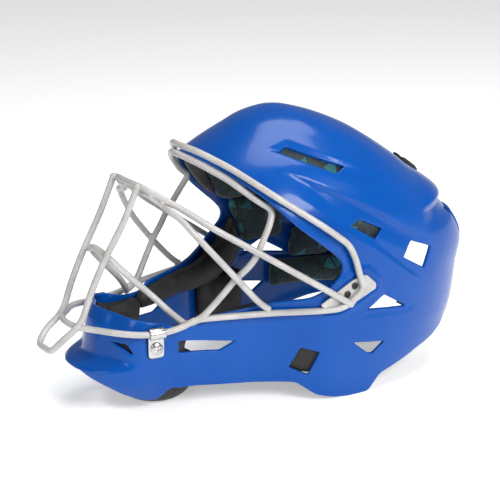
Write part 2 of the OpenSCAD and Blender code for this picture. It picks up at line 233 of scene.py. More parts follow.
def insideOf(points, polygon):
    x, y = points[:, 0], points[:, 1]
    hit = np.zeros(len(points), bool)
    for (x0, y0), (x1, y1) in zip(polygon, np.roll(polygon, -1, 0)):
        if y0 == y1:
            continue
        crosses = (y0 > y) != (y1 > y)
        hit ^= crosses & (x < (x1 - x0) * (y - y0) / (y1 - y0) + x0)
    return hit


def betweenLoops(points, loops):
    # inside the first closed line and outside the others
    keep = insideOf(points, loops[0])
    for hole in loops[1:]:
        keep &= ~insideOf(points, hole)
    return keep


def signedArea(p):
    q = np.roll(p, -1, 0)
    return 0.5 * np.sum(p[:, 0] * q[:, 1] - q[:, 0] * p[:, 1])


def fillLoops(flat, loops):
    # triangles between closed lines, whose points come first in flat
    edges, first = [], 0
    for loop in loops:
        n = len(loop)
        edges += [(first + i, first + (i + 1) % n) for i in range(n)]
        first += n
    _, _, found, origin, _, _ = delaunay_2d_cdt([Vector(p) for p in flat], edges, [], 0, 1e-7, True)
    tris = np.array([[origin[i][0] for i in t] for t in found])
    tris = tris[betweenLoops(flat[tris].mean(1), loops)]
    twice = np.cross(flat[tris[:, 1]] - flat[tris[:, 0]], flat[tris[:, 2]] - flat[tris[:, 0]])
    tris[twice < 0] = tris[twice < 0][:, ::-1]
    return tris


def joinRings(rings):
    # quads between closed rings of point numbers
    faces = []
    for a, b in zip(rings[:-1], rings[1:]):
        for i in range(len(a)):
            j = (i + 1) % len(a)
            faces.append([a[i], b[i], b[j], a[j]])
    return faces


def addObject(name, data):
    obj = bpy.data.objects.new(name, data)
    bpy.context.scene.collection.objects.link(obj)
    return obj


def toMesh(name, points, faces, edges=()):
    mesh = bpy.data.meshes.new(name)
    places = [tuple(p) for p in np.asarray(points, float) * mm]
    mesh.from_pydata(places, edges, [list(map(int, f)) for f in faces])
    return mesh


def toObject(name, points, faces, finish):
    mesh = toMesh(name, points, faces)
    mesh.validate()
    mesh.polygons.foreach_set("use_smooth", [True] * len(mesh.polygons))
    mesh.materials.append(finish)
    return addObject(name, mesh)


def fromBmesh(name, bm):
    mesh = bpy.data.meshes.new(name)
    bm.to_mesh(mesh)
    bm.free()
    return bpy.data.objects.new(name, mesh)


def outwardNormals(obj):
    bm = bmesh.new()
    bm.from_mesh(obj.data)
    bmesh.ops.recalc_face_normals(bm, faces=bm.faces)
    bm.to_mesh(obj.data)
    bm.free()


def bakeModifiers(obj):
    evaluated = obj.evaluated_get(bpy.context.evaluated_depsgraph_get())
    mesh = bpy.data.meshes.new_from_object(evaluated)
    mesh.name = obj.name
    obj.modifiers.clear()
    obj.data = mesh
    mesh.polygons.foreach_set("use_smooth", [True] * len(mesh.polygons))


def mount(obj, slot, *nodes, body=rootBody):
    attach(obj, body)
    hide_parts(*nodes)


def rimDistance(points, rims):
    tree = kdtree.KDTree(len(rims))
    for i, p in enumerate(rims):
        tree.insert(p, i)
    tree.balance()
    return np.array([tree.find(p)[2] for p in points])


def mouldedSheet(name, loops, spacing, wall, finish, inset=0.0, sculpt=None, bulge=0.9, rimSteps=8,
                 innerShape=None, dome=False, follow=False):
    # A sheet cut from the skin: loops are (angle, height) lines, the outside one first. inset is how
    # deep its outer face lies, sculpt moves that face along its normal, innerShape gives the thickness
    # by the distance to the rim, dome takes in the crown, and follow keeps it under the shell's creases
    flats = []
    for i, loop in enumerate(loops):
        flat = chart(loop[:, 0], loop[:, 1])
        if (signedArea(flat) > 0) != (i == 0):
            loops[i], flat = loop[::-1], flat[::-1]
        flats.append(flat)
    edge = np.concatenate(loops)
    rims = skinPoint(edge[:, 0], edge[:, 1])
    low, high = edge[:, 1].min(), edge[:, 1].max()
    rows = np.arange(0, chartS[-1], spacing * 0.87)  # rows of an even net of triangles
    angles, heights = [], []
    for k, s in enumerate(rows):
        z = np.interp(s, chartS, chartZ)
        if not dome and not low < z < high:
            continue
        n = max(8, int(round(2 * math.pi * np.interp(s, chartS, chartR) / spacing)))
        angles.append(360 * (np.arange(n) + 0.5 * (k % 2)) / n)
        heights.append(np.full(n, z))
    net = np.stack([np.concatenate(angles), np.concatenate(heights)], 1)
    net = net[betweenLoops(chart(net[:, 0], net[:, 1]), flats)]
    net = net[rimDistance(skinPoint(net[:, 0], net[:, 1]), rims) > 0.62 * spacing]
    net = np.concatenate([edge, net])
    tris = fillLoops(chart(net[:, 0], net[:, 1]), flats)
    base = skinPoint(net[:, 0], net[:, 1])
    normal = skinNormal(net[:, 0], net[:, 1])
    outer = base - normal * inset
    if sculpt is not None:
        outer = outer + normal * sculpt(base)[:, None]
    if follow:
        outer = outer + normal * np.minimum(shellSculpt(base), 0)[:, None]
    depth = innerShape(rimDistance(base, rims)) if innerShape else np.full(len(base), float(wall))
    inner = outer - normal * depth[:, None]
    count = len(base)
    points = [outer, inner]
    faces = list(tris) + list(tris[:, ::-1] + count)
    first, offset = 0, 2 * count
    for loop in loops:
        n = len(loop)
        ids = np.arange(first, first + n)
        along = outer[np.roll(ids, -1)] - outer[np.roll(ids, 1)]
        sideways = np.cross(along, normal[ids])
        sideways /= np.linalg.norm(sideways, axis=1, keepdims=True)
        centre = 0.5 * (outer[ids] + inner[ids])
        half = 0.5 * np.linalg.norm(outer[ids] - inner[ids], axis=1, keepdims=True)
        rings = [ids]
        for k in range(1, rimSteps):
            t = math.pi * k / rimSteps
            up = math.copysign(abs(math.cos(t)) ** 0.75, math.cos(t))
            points.append(centre + normal[ids] * half * up + sideways * bulge * math.sin(t) ** 0.75)
            rings.append(np.arange(offset, offset + n))
            offset += n
        faces += joinRings(rings + [ids + count])
        first += n
    obj = toObject(name, np.concatenate(points), faces, finish)
    print("sheet", name, len(obj.data.polygons), "faces")
    return obj


def newMaterial(name, colour, roughness, metallic=0.0, coat=0.0, sheen=0.0):
    mat = bpy.data.materials.new(name)
    mat.use_nodes = True
    shader = mat.node_tree.nodes["Principled BSDF"]
    shader.inputs["Base Color"].default_value = (*colour, 1)
    shader.inputs["Roughness"].default_value = roughness
    shader.inputs["Metallic"].default_value = metallic
    shader.inputs["Coat Weight"].default_value = coat
    shader.inputs["Coat Roughness"].default_value = 0.06
    shader.inputs["Sheen Weight"].default_value = sheen
    mat.diffuse_color = (*colour, 1)
    return mat, mat.node_tree, shader


def addNode(tree, kind, inputs=None, **settings):
    node = tree.nodes.new(kind)
    for key, value in settings.items():
        setattr(node, key, value)
    for key, value in (inputs or {}).items():
        if isinstance(value, bpy.types.NodeSocket):
            tree.links.new(value, node.inputs[key])
        else:
            node.inputs[key].default_value = value
    return node


def calc(tree, operation, a, b=0.0):
    return addNode(tree, "ShaderNodeMath", {0: a, 1: b}, operation=operation).outputs[0]


def remap(tree, value, low, high, fromLow=0.0, fromHigh=1.0):
    inputs = {"Value": value, "From Min": fromLow, "From Max": fromHigh, "To Min": low, "To Max": high}
    return addNode(tree, "ShaderNodeMapRange", inputs).outputs[0]


def objectPlace(tree, scale=(1, 1, 1), turn=(0, 0, 0)):
    place = addNode(tree, "ShaderNodeTexCoord").outputs["Object"]
    return addNode(tree, "ShaderNodeMapping", {"Vector": place, "Scale": scale, "Rotation": turn}).outputs[0]


def noise(tree, place, scale, detail=3.0, roughness=0.5):
    node = addNode(tree, "ShaderNodeTexNoise",
                   {"Vector": place, "Scale": scale, "Detail": detail, "Roughness": roughness})
    return node.outputs["Fac"]


def mixColours(tree, factor, a, b):
    node = addNode(tree, "ShaderNodeMix", data_type="RGBA")
    for key, kind, value in (("Factor", "VALUE", factor), ("A", "RGBA", a), ("B", "RGBA", b)):
        socket = [s for s in node.inputs if s.name == key and s.type == kind][0]
        if isinstance(value, bpy.types.NodeSocket):
            tree.links.new(value, socket)
        else:
            socket.default_value = (*value, 1) if kind == "RGBA" else value
    return [s for s in node.outputs if s.type == "RGBA"][0]


def paint(tree, shader, factor, a, b):
    tree.links.new(mixColours(tree, factor, a, b), shader.inputs["Base Color"])


def addBump(tree, shader, height, strength, distance):
    bump = addNode(tree, "ShaderNodeBump", {"Height": height, "Strength": strength, "Distance": distance})
    tree.links.new(bump.outputs[0], shader.inputs["Normal"])


finishes = {
    "shellBlue": (0.0, 0.074, 0.36), "shellDeep": (0.0, 0.058, 0.30),
    "wireGrey": (0.50, 0.49, 0.48), "wireShade": (0.36, 0.35, 0.34),
    "zinc": (0.52, 0.51, 0.50), "blackOxide": (0.03, 0.03, 0.032),
    "foam": (0.011, 0.010, 0.0095), "foamWorn": (0.028, 0.026, 0.024),
    "fabricDark": (0.006, 0.011, 0.014), "fabricTeal": (0.012, 0.17, 0.20), "fabricMid": (0.010, 0.075, 0.09),
    "browKnit": (0.030, 0.024, 0.021), "browLight": (0.075, 0.062, 0.055),
    "webbing": (0.014, 0.014, 0.015), "webbingLight": (0.045, 0.045, 0.047),
}


def glossShell():
    mat, tree, shader = newMaterial("glossBlueShell", finishes["shellBlue"], 0.24, coat=0.15)
    shader.inputs["Specular IOR Level"].default_value = 0.17
    place = objectPlace(tree)
    paint(tree, shader, noise(tree, place, 14, 3), finishes["shellDeep"], finishes["shellBlue"])
    wear = noise(tree, place, 900, 4, 0.65)
    tree.links.new(remap(tree, wear, 0.18, 0.33), shader.inputs["Roughness"])
    addBump(tree, shader, noise(tree, place, 240, 2), 0.05, 0.0004)
    return mat


def powderCoat():
    mat, tree, shader = newMaterial("powderCoat", finishes["wireGrey"], 0.36, coat=0.15)
    place = objectPlace(tree)
    speck = noise(tree, place, 1500, 2, 0.6)
    stain = noise(tree, place, 60, 4, 0.6)
    blend = remap(tree, calc(tree, "MULTIPLY", speck, stain), 0.0, 1.0, 0.15, 0.36)
    paint(tree, shader, blend, finishes["wireShade"], finishes["wireGrey"])
    addBump(tree, shader, speck, 0.25, 0.0003)
    return mat


def zincPlate():
    mat, tree, shader = newMaterial("zincPlate", finishes["zinc"], 0.25, metallic=1.0)
    brushed = noise(tree, objectPlace(tree, (1, 1, 14)), 500, 3)
    tree.links.new(remap(tree, brushed, 0.16, 0.38), shader.inputs["Roughness"])
    addBump(tree, shader, brushed, 0.12, 0.0002)
    return mat


def blackOxide():
    mat, tree, shader = newMaterial("blackOxide", finishes["blackOxide"], 0.42, metallic=0.6)
    addBump(tree, shader, noise(tree, objectPlace(tree), 1200, 2), 0.2, 0.0002)
    return mat


def mouldedFoam():
    mat, tree, shader = newMaterial("mouldedFoam", finishes["foam"], 0.62)
    place = objectPlace(tree)
    grain = addNode(tree, "ShaderNodeTexVoronoi", {"Vector": place, "Scale": 900.0}).outputs["Distance"]
    scuffed = remap(tree, noise(tree, place, 70, 5, 0.62), 0.0, 1.0, 0.45, 0.75)
    paint(tree, shader, scuffed, finishes["foam"], finishes["foamWorn"])
    addBump(tree, shader, grain, 0.35, 0.0004)
    return mat


fabricPrint = {
    "cell": 0.0105, "turns": (12, 72, 132),  # triangle height and the three ways its lines run
    "plainAbove": 0.80, "hatchedAbove": 0.22, "hatch": 0.0019, "hatchShare": 0.42,
    "outline": 0.055, "wobble": 0.016, "wobbleScale": 22.0, "fade": 0.8,
}


def triangleFabric(name, axes):
    # printed knit: a net of triangles, some plain teal, some hatched, some dark
    mat, tree, shader = newMaterial(name, finishes["fabricMid"], 0.85, sheen=0.25)
    look = fabricPrint
    place = addNode(tree, "ShaderNodeTexCoord").outputs["Object"]
    wobble = addNode(tree, "ShaderNodeTexNoise",
                     {"Vector": place, "Scale": look["wobbleScale"], "Detail": 1.0})
    shifted = addNode(tree, "ShaderNodeVectorMath",
                      {0: wobble.outputs["Color"], 1: (-0.5, -0.5, -0.5)}, operation="ADD")
    shifted = addNode(tree, "ShaderNodeVectorMath",
                      {0: shifted.outputs[0], "Scale": look["wobble"]}, operation="SCALE")
    warped = addNode(tree, "ShaderNodeVectorMath", {0: place, 1: shifted.outputs[0]}, operation="ADD")
    split = addNode(tree, "ShaderNodeSeparateXYZ", {0: warped.outputs[0]})
    u, v = split.outputs[axes[0]], split.outputs[axes[1]]
    cells, lines = [], None
    for turn in look["turns"]:
        c, s = math.cos(math.radians(turn)) / look["cell"], math.sin(math.radians(turn)) / look["cell"]
        along = calc(tree, "ADD", calc(tree, "MULTIPLY", u, c), calc(tree, "MULTIPLY", v, s))
        cells.append(calc(tree, "FLOOR", along))
        near = calc(tree, "PINGPONG", along, 0.5)
        lines = near if lines is None else calc(tree, "MINIMUM", lines, near)
    key = addNode(tree, "ShaderNodeCombineXYZ", {0: cells[0], 1: cells[1], 2: cells[2]})
    chance = addNode(tree, "ShaderNodeTexWhiteNoise", {"Vector": key.outputs[0]}, noise_dimensions="3D")
    pick = chance.outputs["Value"]
    stripes = calc(tree, "FRACT", calc(tree, "MULTIPLY", u, 1 / look["hatch"]))
    hatched = calc(tree, "MULTIPLY", calc(tree, "GREATER_THAN", pick, look["hatchedAbove"]),
                   calc(tree, "LESS_THAN", stripes, look["hatchShare"]))
    plain = calc(tree, "GREATER_THAN", pick, look["plainAbove"])
    outline = calc(tree, "LESS_THAN", lines, look["outline"])
    colour = mixColours(tree, hatched, finishes["fabricDark"], finishes["fabricMid"])
    colour = mixColours(tree, plain, colour, finishes["fabricTeal"])
    colour = mixColours(tree, outline, colour, finishes["fabricDark"])
    fade = calc(tree, "MULTIPLY", noise(tree, place, 30, 2), look["fade"])
    paint(tree, shader, fade, colour, finishes["fabricDark"])
    knit = addNode(tree, "ShaderNodeTexWave",
                   {"Vector": place, "Scale": 420.0, "Distortion": 1.5, "Detail": 1.0},
                   wave_type="BANDS", bands_direction="DIAGONAL")
    addBump(tree, shader, knit.outputs["Fac"], 0.3, 0.0004)
    return mat


def knitFabric(name, colour, lighter):
    mat, tree, shader = newMaterial(name, colour, 0.88, sheen=0.3)
    place = objectPlace(tree)
    bands = [addNode(tree, "ShaderNodeTexWave", {"Vector": place, "Scale": 520.0, "Distortion": 0.6},
                     wave_type="BANDS", bands_direction=way).outputs["Fac"] for way in ("Z", "DIAGONAL")]
    weave = calc(tree, "MULTIPLY", bands[0], bands[1])
    paint(tree, shader, weave, colour, lighter)
    addBump(tree, shader, weave, 0.45, 0.0005)
    return mat


blue = glossShell()
coat = powderCoat()
zinc = zincPlate()
oxide = blackOxide()
foam = mouldedFoam()
sideFabric = triangleFabric("printedKnitSides", (1, 2))
topFabric = triangleFabric("printedKnitTop", (1, 0))
rearFabric = triangleFabric("printedKnitRear", (0, 2))
browKnit = knitFabric("browKnit", finishes["browKnit"], finishes["browLight"])
webbing = knitFabric("wovenWebbing", finishes["webbing"], finishes["webbingLight"])
print("materials ready")

shellCuts = {
    "face": [(-160, 90), (-141.5, 83.7), (-132.3, 78), (-99.9, 69.8), (-87.5, 65.5), (-71.6, 65.8),
             (-65.5, 71.8), (-43.5, 74.3), (1.4, 82), (14.4, 89.2), (25.5, 99), (27, 104), (26, 109),
             (19, 116.5), (-7, 138), (-28.5, 161.5), (-51.5, 182.5), (-75, 195)],
    "base": [(-160, 46), (-151, 34), (-145.9, 29.9), (-127.5, 17.6), (-111.3, 9.2), (-99.9, 7.3),
             (-93.6, 16.6), (-87.5, 18), (-73.7, 17.9), (-47.5, 17.2), (-25.3, 16.1), (-5.3, 16.7),
             (8.5, 6.1), (24, 2), (38, 0.3), (54, 0.3), (64, 13), (106, 24), (125, 27),
             (140, 31), (150, 38), (200, 45)],
    "vents": {
        "jawSlot": [(-89.9, 57.2), (-45, 52.1), (-58.5, 44.6), (-89.9, 46.4)],
        "jawWedge": [(-132.9, 57.4), (-125.9, 58.4), (-122, 49.7), (-125.1, 49.8)],
        "earSlot": [(-4.5, 45.4), (9.3, 41.2), (1.4, 21), (-11.5, 27.4)],
        "lowRear": [(33, 45.5), (68, 40), (55, 31), (50, 32)],
        "triangle": [(45, 68), (64, 78), (87, 64.5), (86, 62.5)],
        "rear": [(94.6, 114), (116, 105), (107.5, 88), (83, 102), (89, 109.5)],
        "side": [(33, 134), (43, 139), (66, 128), (56, 120)],
        "crown": [(-6.5, 187), (3, 191.5), (42.5, 175.5), (31.5, 171)]},
    "windowHalf": 46.0, "windowTop": 122.2, "windowFrom": 80.0,  # the window for the rear plate
    "spacing": 2.0, "ventCorner": 1.2, "faceCorner": 3.0, "baseCorner": 2.2,
}


def halfToLoop(half, soft, spacing):
    # half runs from the front's centre to the other end on the left side; its mirror closes it
    other = half[::-1] * np.array([-1, 1, 1])
    return softLoop(np.concatenate([half, other[1:]]), soft, spacing)


def cutLine(outline):
    dense = densify(outline, 0.4, closed=False)
    angle, cosine = sideAngle(dense[:, 0], dense[:, 1])
    return dense, angle, cosine > -1


def faceLoop(spacing):
    dense, angle, on = cutLine(shellCuts["face"])
    found = np.where(on)[0]
    dense, angle = dense[found[0]:found[-1] + 1], angle[found[0]:found[-1] + 1]
    angle[0] = angle[-1] = 180
    return halfToLoop(skinPoint(angle, dense[:, 1]), shellCuts["faceCorner"], spacing)


def baseLoop(spacing):
    # the lower rim from the chin to the window, then up and across the window's top
    dense, angle, on = cutLine(shellCuts["base"])
    dense, angle = dense[on], angle[on]
    angle[0] = 180
    p = skinPoint(angle, dense[:, 1])
    half, top = shellCuts["windowHalf"], shellCuts["windowTop"]
    p = p[:np.where((p[:, 1] > shellCuts["windowFrom"]) & (p[:, 0] < half))[0][0]]
    up = np.arange(p[-1, 2] + 0.4, top, 0.5)
    side = skinPoint(np.degrees(np.arcsin(half / stationValue(up, wideColumn))), up)
    across = np.linspace(np.degrees(math.asin(half / stationValue(top, wideColumn))), 0, 90)
    rear = skinPoint(across, np.full(90, top))
    return halfToLoop(np.concatenate([p, side, rear]), shellCuts["baseCorner"], spacing)


def segmentField(y, z, start, end):
    # distance to a straight piece of a line in the side view, its sign (positive above the line), the
    # place along it, and its length
    length = math.hypot(end[0] - start[0], end[1] - start[1])
    dy, dz = (end[0] - start[0]) / length, (end[1] - start[1]) / length
    t = np.clip((y - start[0]) * dy + (z - start[1]) * dz, 0, length)
    away = np.hypot(y - start[0] - t * dy, z - start[1] - t * dz)
    return away, np.where(dy * (z - start[1]) - dz * (y - start[0]) >= 0, 1, -1), t, length


def lineField(y, z, crease):
    # signed distance to a crease's line, and its strength, which fades out at both ends
    best = np.full(y.shape, 1e9)
    along = np.zeros(y.shape)
    total = 0.0
    for start, end in zip(crease["line"][:-1], crease["line"][1:]):
        away, sign, t, length = segmentField(y, z, start, end)
        closer = away < np.abs(best)
        best = np.where(closer, away * sign, best)
        along = np.where(closer, total + t, along)
        total += length
    first, last = crease.get("fade", (0.001, 0.001))
    return best, ramp(along / first) * ramp((total - along) / last)


def insideDepth(y, z, outline):
    # positive inside an outline of the side view, by the distance to its edge
    inside = insideOf(np.stack([y, z], 1), np.array(outline, float))
    away = np.full(y.shape, 1e9)
    for start, end in zip(outline, outline[1:] + outline[:1]):
        away = np.minimum(away, segmentField(y, z, start, end)[0])
    return np.where(inside, away, -away)


shellRelief = {
    # lines and outlines are (depth, height) in the side view; sizes are in millimetres
    "crownEdge": {"line": [(-20, 177), (-4, 172), (42, 148), (93, 118), (112, 108)], "fade": (45, 22),
                  "drop": 2.6, "shelf": 15},
    "bandEdge": {"line": [(-6, 165), (5, 156), (28, 137), (55, 118), (90, 91), (120, 72)], "fade": (40, 40),
                 "step": 1.8},
    "innerCrease": {"line": [(5, 165.5), (41, 141.6)], "fade": (12, 10), "drop": 0.8},
    "crownPan": {"outline": [(-14, 189), (6, 195), (73, 164), (66, 158), (49, 160)],
                 "depth": 1.8, "bevel": 4},
    "topRidge": {"line": [(-55, 190), (-20, 201), (20, 202), (60, 186), (96, 160)], "fade": (30, 40),
                 "height": 1.3},
    "ventPan": {"outline": [(40, 62), (64, 83), (96, 62), (90, 57)], "depth": 0.9, "bevel": 3},
    "temple": {"outline": [(3, 80), (31, 96), (41, 99.5), (47, 98.5), (55.5, 90), (55.5, 84), (32, 73.5),
                           (23, 70), (10, 70.5)], "lip": 1.3},
    "jawStep": {"line": [(-91, 62), (-90, 44), (-88, 16)], "step": 1.6},
    "chinStep": {"line": [(-139, 80), (-141, 50), (-143, 38)], "step": 1.0},
    "notch": {"high": 131.0, "rise": 3.2, "dip": 2.4},
    "deepest": 3.4,
}


def panRelief(y, z, pan):
    return -pan["depth"] * ramp(insideDepth(y, z, pan["outline"]) / pan["bevel"])


def shellSculpt(base):
    y, z = base[:, 1] + maskShape["middle"], base[:, 2]
    relief = shellRelief
    # crown cap: sharp above the line, an easy shelf below it
    d, strength = lineField(y, z, relief["crownEdge"])
    drop = np.where(d > 0, ramp(1 - d / 3.0), ramp(1 + d / relief["crownEdge"]["shelf"]))
    out = -relief["crownEdge"]["drop"] * strength * drop
    # band round the temple: it stands above the channel
    d, strength = lineField(y, z, relief["bandEdge"])
    step = ramp((0.6 - d) / 3.2) - 1
    out += relief["bandEdge"]["step"] * strength * step * ramp((34 - np.maximum(d, 0)) / 26)
    d, strength = lineField(y, z, relief["innerCrease"])
    out -= relief["innerCrease"]["drop"] * strength * np.where(d > 0, ramp(1 - d / 1.6), ramp(1 + d / 7))
    # pans round the crown vent and the triangle, and a soft raised spine beside the first
    out += panRelief(y, z, relief["crownPan"]) + panRelief(y, z, relief["ventPan"])
    d, strength = lineField(y, z, relief["topRidge"])
    out += relief["topRidge"]["height"] * ramp((d + 5) / 9) * strength * (z > 120)
    # lip round the temple plate
    depth = insideDepth(y, z, relief["temple"]["outline"])
    ring = ramp((depth + 4.5) / 3.0) * (1 - ramp((depth + 1.0) / 1.6))
    out += relief["temple"]["lip"] * ring * ((y > 20) | (z < 76))
    # jaw: the front panel lies a step below the side one
    d = lineField(y, z, relief["jawStep"])[0]
    step = (ramp((d + 2.5) / 5.0) - 1) * ramp((d + 30) / 20)
    out += relief["jawStep"]["step"] * step * (y < -50) * (z < 70)
    d = lineField(y, z, relief["chinStep"])[0]
    out += relief["chinStep"]["step"] * (ramp((d + 2) / 4.0) - 1) * (y < -110) * ramp((z - 40) / 6)
    # notch across the back of the crown
    notch = relief["notch"]
    rise = notch["rise"] * ramp((z - notch["high"]) / 3.0) * ramp((160 - z) / 26)
    dip = notch["dip"] * ramp((z - 113) / 12) * ramp((notch["high"] + 2 - z) / 3.0)
    out += ramp((y - 105) / 25) * (rise - dip)
    return np.maximum(out, -relief["deepest"])


def buildShell():
    spacing = shellCuts["spacing"]
    loops = [baseLoop(spacing), faceLoop(spacing)]
    for outline in shellCuts["vents"].values():
        left = sideLoop(outline, shellCuts["ventCorner"], spacing * 0.7)
        loops += [left, mirrored(left)]
    shell = mouldedSheet("shell", loops, spacing, maskShape["wall"], blue, sculpt=shellSculpt, dome=True)
    mount(shell, "shell", "main_shell")


buildShell()
print("shell ready")

padSettings = {
    # voxel and swell are in metres, the other lengths in millimetres
    "voxel": 0.002604, "pressure": 4.0, "frames": 16, "swell": 0.0022, "quality": 4,
    "corner": 2.5, "rimSpacing": 2.6, "spacing": 3.2, "bulge": 0.3, "inset": 4.4,
}


def puffPad(obj):
    # a short cloth run under pressure swells the pad, which then keeps its own edges
    remesh = obj.modifiers.new("remesh", "REMESH")
    remesh.mode = "VOXEL"
    remesh.voxel_size = padSettings["voxel"]
    remesh.use_smooth_shade = True
    bakeModifiers(obj)
    start = np.zeros(len(obj.data.vertices) * 3)
    obj.data.vertices.foreach_get("co", start)
    cloth = obj.modifiers.new("cloth", "CLOTH")
    cloth.settings.use_pressure = True
    cloth.settings.uniform_pressure_force = padSettings["pressure"]
    cloth.settings.effector_weights.gravity = 0
    cloth.settings.quality = padSettings["quality"]
    cloth.point_cache.frame_start = 1
    cloth.point_cache.frame_end = padSettings["frames"]
    for f in range(1, padSettings["frames"] + 1):
        bpy.context.scene.frame_set(f)
    evaluated = obj.evaluated_get(bpy.context.evaluated_depsgraph_get())
    end = np.zeros_like(start)
    evaluated.data.vertices.foreach_get("co", end)
    obj.modifiers.remove(cloth)
    move = (end - start).reshape(-1, 3)
    length = np.linalg.norm(move, axis=1, keepdims=True)
    move *= np.minimum(1, padSettings["swell"] / np.maximum(length, 1e-9))
    obj.data.vertices.foreach_set("co", (start.reshape(-1, 3) + move).ravel())
    obj.data.update()
    bpy.context.scene.frame_set(1)


def crowned(thick, edge=0.72, reach=8.0):
    # full thickness in the middle, thinner at the rim
    return lambda rim: thick * (edge + (1 - edge) * ramp(rim / reach))


# side outlines are (depth, height), turn outlines (angle, height); thickness and inset in millimetres
padList = {
    "sideLiner": {
        "side": [(17, 123), (26, 119.3), (116, 119.3), (88, 166.5), (-7, 166.5), (-4, 160)],
        "thick": 11, "finish": sideFabric, "node": "side_liner", "slot": "liner_fabric"},
    "templeLiner": {
        "side": [(44, 80), (80, 80), (82, 119), (29, 119), (30, 112), (36, 100)],
        "thick": 11, "finish": sideFabric, "node": "temple_liner", "slot": "liner_fabric"},
    "earPad": {
        "side": [(-22, 22), (40, 22), (42, 56), (-22, 56)],
        "thick": 9, "finish": foam, "node": "ear_pad", "slot": "eva_foam"},
    "napePad": {
        "turn": [(33, 62), (54, 62), (54, 116), (33, 116)],
        "thick": 9, "inset": 5.2, "finish": rearFabric, "node": "nape_pad", "slot": "eva_foam"},
    "midLiner": {
        "turn": [(57, 60), (73, 60), (72, 85), (57, 85)],
        "thick": 11, "finish": sideFabric, "node": "mid_liner", "slot": "liner_fabric"},
    "lowerLiner": {
        "turn": [(36, 36), (80, 36), (80, 58), (34, 58)],
        "thick": 11, "finish": sideFabric, "node": "lower_liner", "slot": "liner_fabric"},
    "cheekPad": {
        "side": [(-93, 56), (-50, 58), (6, 52), (30, 60), (40, 76), (34, 96), (31.5, 106), (30, 98), (17, 85),
                 (0, 78.5), (-56, 75.5), (-78, 71.5), (-92, 68)],
        "thick": 12, "finish": foam, "node": "cheek_pad", "slot": "eva_foam"},
    "jawPad": {
        "turn": [(134, 33), (158, 40), (176, 47), (176, 77), (158, 75), (146, 68), (134, 65)],
        "thick": 13, "finish": foam, "node": "jaw_pad", "slot": "eva_foam"},
}


def finishPad(pad, node, slot, body=rootBody):
    puffPad(pad)
    mount(pad, slot, node, body=body)


def buildPads():
    q = padSettings
    for name, p in padList.items():
        if "side" in p:
            left = sideLoop(p["side"], q["corner"], q["rimSpacing"], False)
        else:
            left = angleLoop(p["turn"], q["corner"], q["rimSpacing"])
        for side, loop in (("Left", left), ("Right", mirrored(left))):
            pad = mouldedSheet(name + side, [loop], q["spacing"], p["thick"], p["finish"],
                               inset=p.get("inset", q["inset"]), bulge=q["bulge"],
                               innerShape=crowned(p["thick"] - 0.4), follow=True)
            finishPad(pad, p["node"] + "_" + side.lower(), p["slot"])


buildPads()
print("side pads ready")

softPieces = {
    "rearLiner": {"turn": [(-48, 126), (48, 126), (48, 162), (-48, 162)], "inset": 5.4, "thick": 8.8},
    "crownLiner": {"low": 167.0, "shift": (22, -2), "inset": 4.4, "thick": 10.6},
    "browPad": {"low": 128.0, "shift": (3, 1), "inset": 4.4, "thick": 6.6,
                "back": [(-70, 200), (-56, 193), (-32, 180.5), (-9, 161), (14, 128)]},
    "topStrap": {"turn": [(-6.5, 96.5), (6.5, 96.5), (7.6, 141.5), (-7.6, 141.5)],
                 "inset": 3.6, "thick": 1.2},
    "elastic": {"turn": [(13.2, 86.3), (57.5, 86.3), (57.5, 95.7), (13.2, 95.7)], "inset": 3.6, "thick": 1.2,
                "middle": 91.0, "stretch": (33.5, 27.5)},  # angles for the band's stretched ends; buildRear works the ends out but uses them no further
    "rearPlate": {"turn": [(-25.8, 76.3), (25.8, 76.3), (23.8, 115.7), (-23.8, 115.7)], "thick": 3.0},
    "rearFoam": {"turn": [(-21.5, 80.5), (21.5, 80.5), (19.5, 111.5), (-19.5, 111.5)],
                 "inset": 5.4, "thick": 7.6},
}


def sideLine(points, shift, low):
    # the part of a side-view line that lies on the skin above a height, from the centre down
    dense = densify(points, 0.4, closed=False) + np.array(shift, float)
    if dense[0, 1] < dense[-1, 1]:
        dense = dense[::-1]
    angle, cosine = sideAngle(dense[:, 0], dense[:, 1])
    on = (cosine > -1) & (dense[:, 1] >= low) & (dense[:, 1] < crownHeight - 1.5)
    dense, angle = dense[on], angle[on]
    keep = np.r_[True, np.diff(dense[:, 1]) < 0]
    dense, angle = dense[keep], angle[keep]
    angle[0] = 180
    return angle, dense[:, 1]


def buildTopPads():
    q = padSettings
    p = softPieces["rearLiner"]
    rear = mouldedSheet("rearLiner", [angleLoop(p["turn"], 3, q["rimSpacing"])], q["spacing"], p["thick"],
                        rearFabric, inset=p["inset"], bulge=q["bulge"], innerShape=crowned(p["thick"]),
                        follow=True)
    finishPad(rear, "rear_liner", "liner_fabric")
    faceHigh = shellCuts["face"][11:]  # the brow's part of the face opening
    p = softPieces["crownLiner"]
    angle, z = sideLine(faceHigh, p["shift"], p["low"])
    turn = np.linspace(angle[-1], 0, 160)
    half = skinPoint(np.r_[angle, turn], np.r_[z, np.full(len(turn), p["low"])])
    half[0, 0] = half[-1, 0] = 0
    crown = mouldedSheet("crownLiner", [halfToLoop(half, 3.5, q["rimSpacing"])], q["spacing"], p["thick"],
                         topFabric, inset=p["inset"], bulge=q["bulge"], innerShape=crowned(p["thick"]),
                         dome=True, follow=True)
    finishPad(crown, "crown_liner", "liner_fabric")
    p = softPieces["browPad"]
    frontAngle, frontZ = sideLine(faceHigh, p["shift"], p["low"])
    backAngle, backZ = sideLine(p["back"], (0, 0), p["low"])
    half = skinPoint(np.r_[frontAngle, backAngle[::-1]], np.r_[frontZ, backZ[::-1]])
    half[0, 0] = half[-1, 0] = 0
    brow = mouldedSheet("browPad", [halfToLoop(half, 1.6, 2.0)], 2.6, p["thick"], browKnit, inset=p["inset"],
                        bulge=0.4, innerShape=crowned(p["thick"], 0.7, 7), dome=True, follow=True)
    finishPad(brow, "brow_pad", "brow_foam")


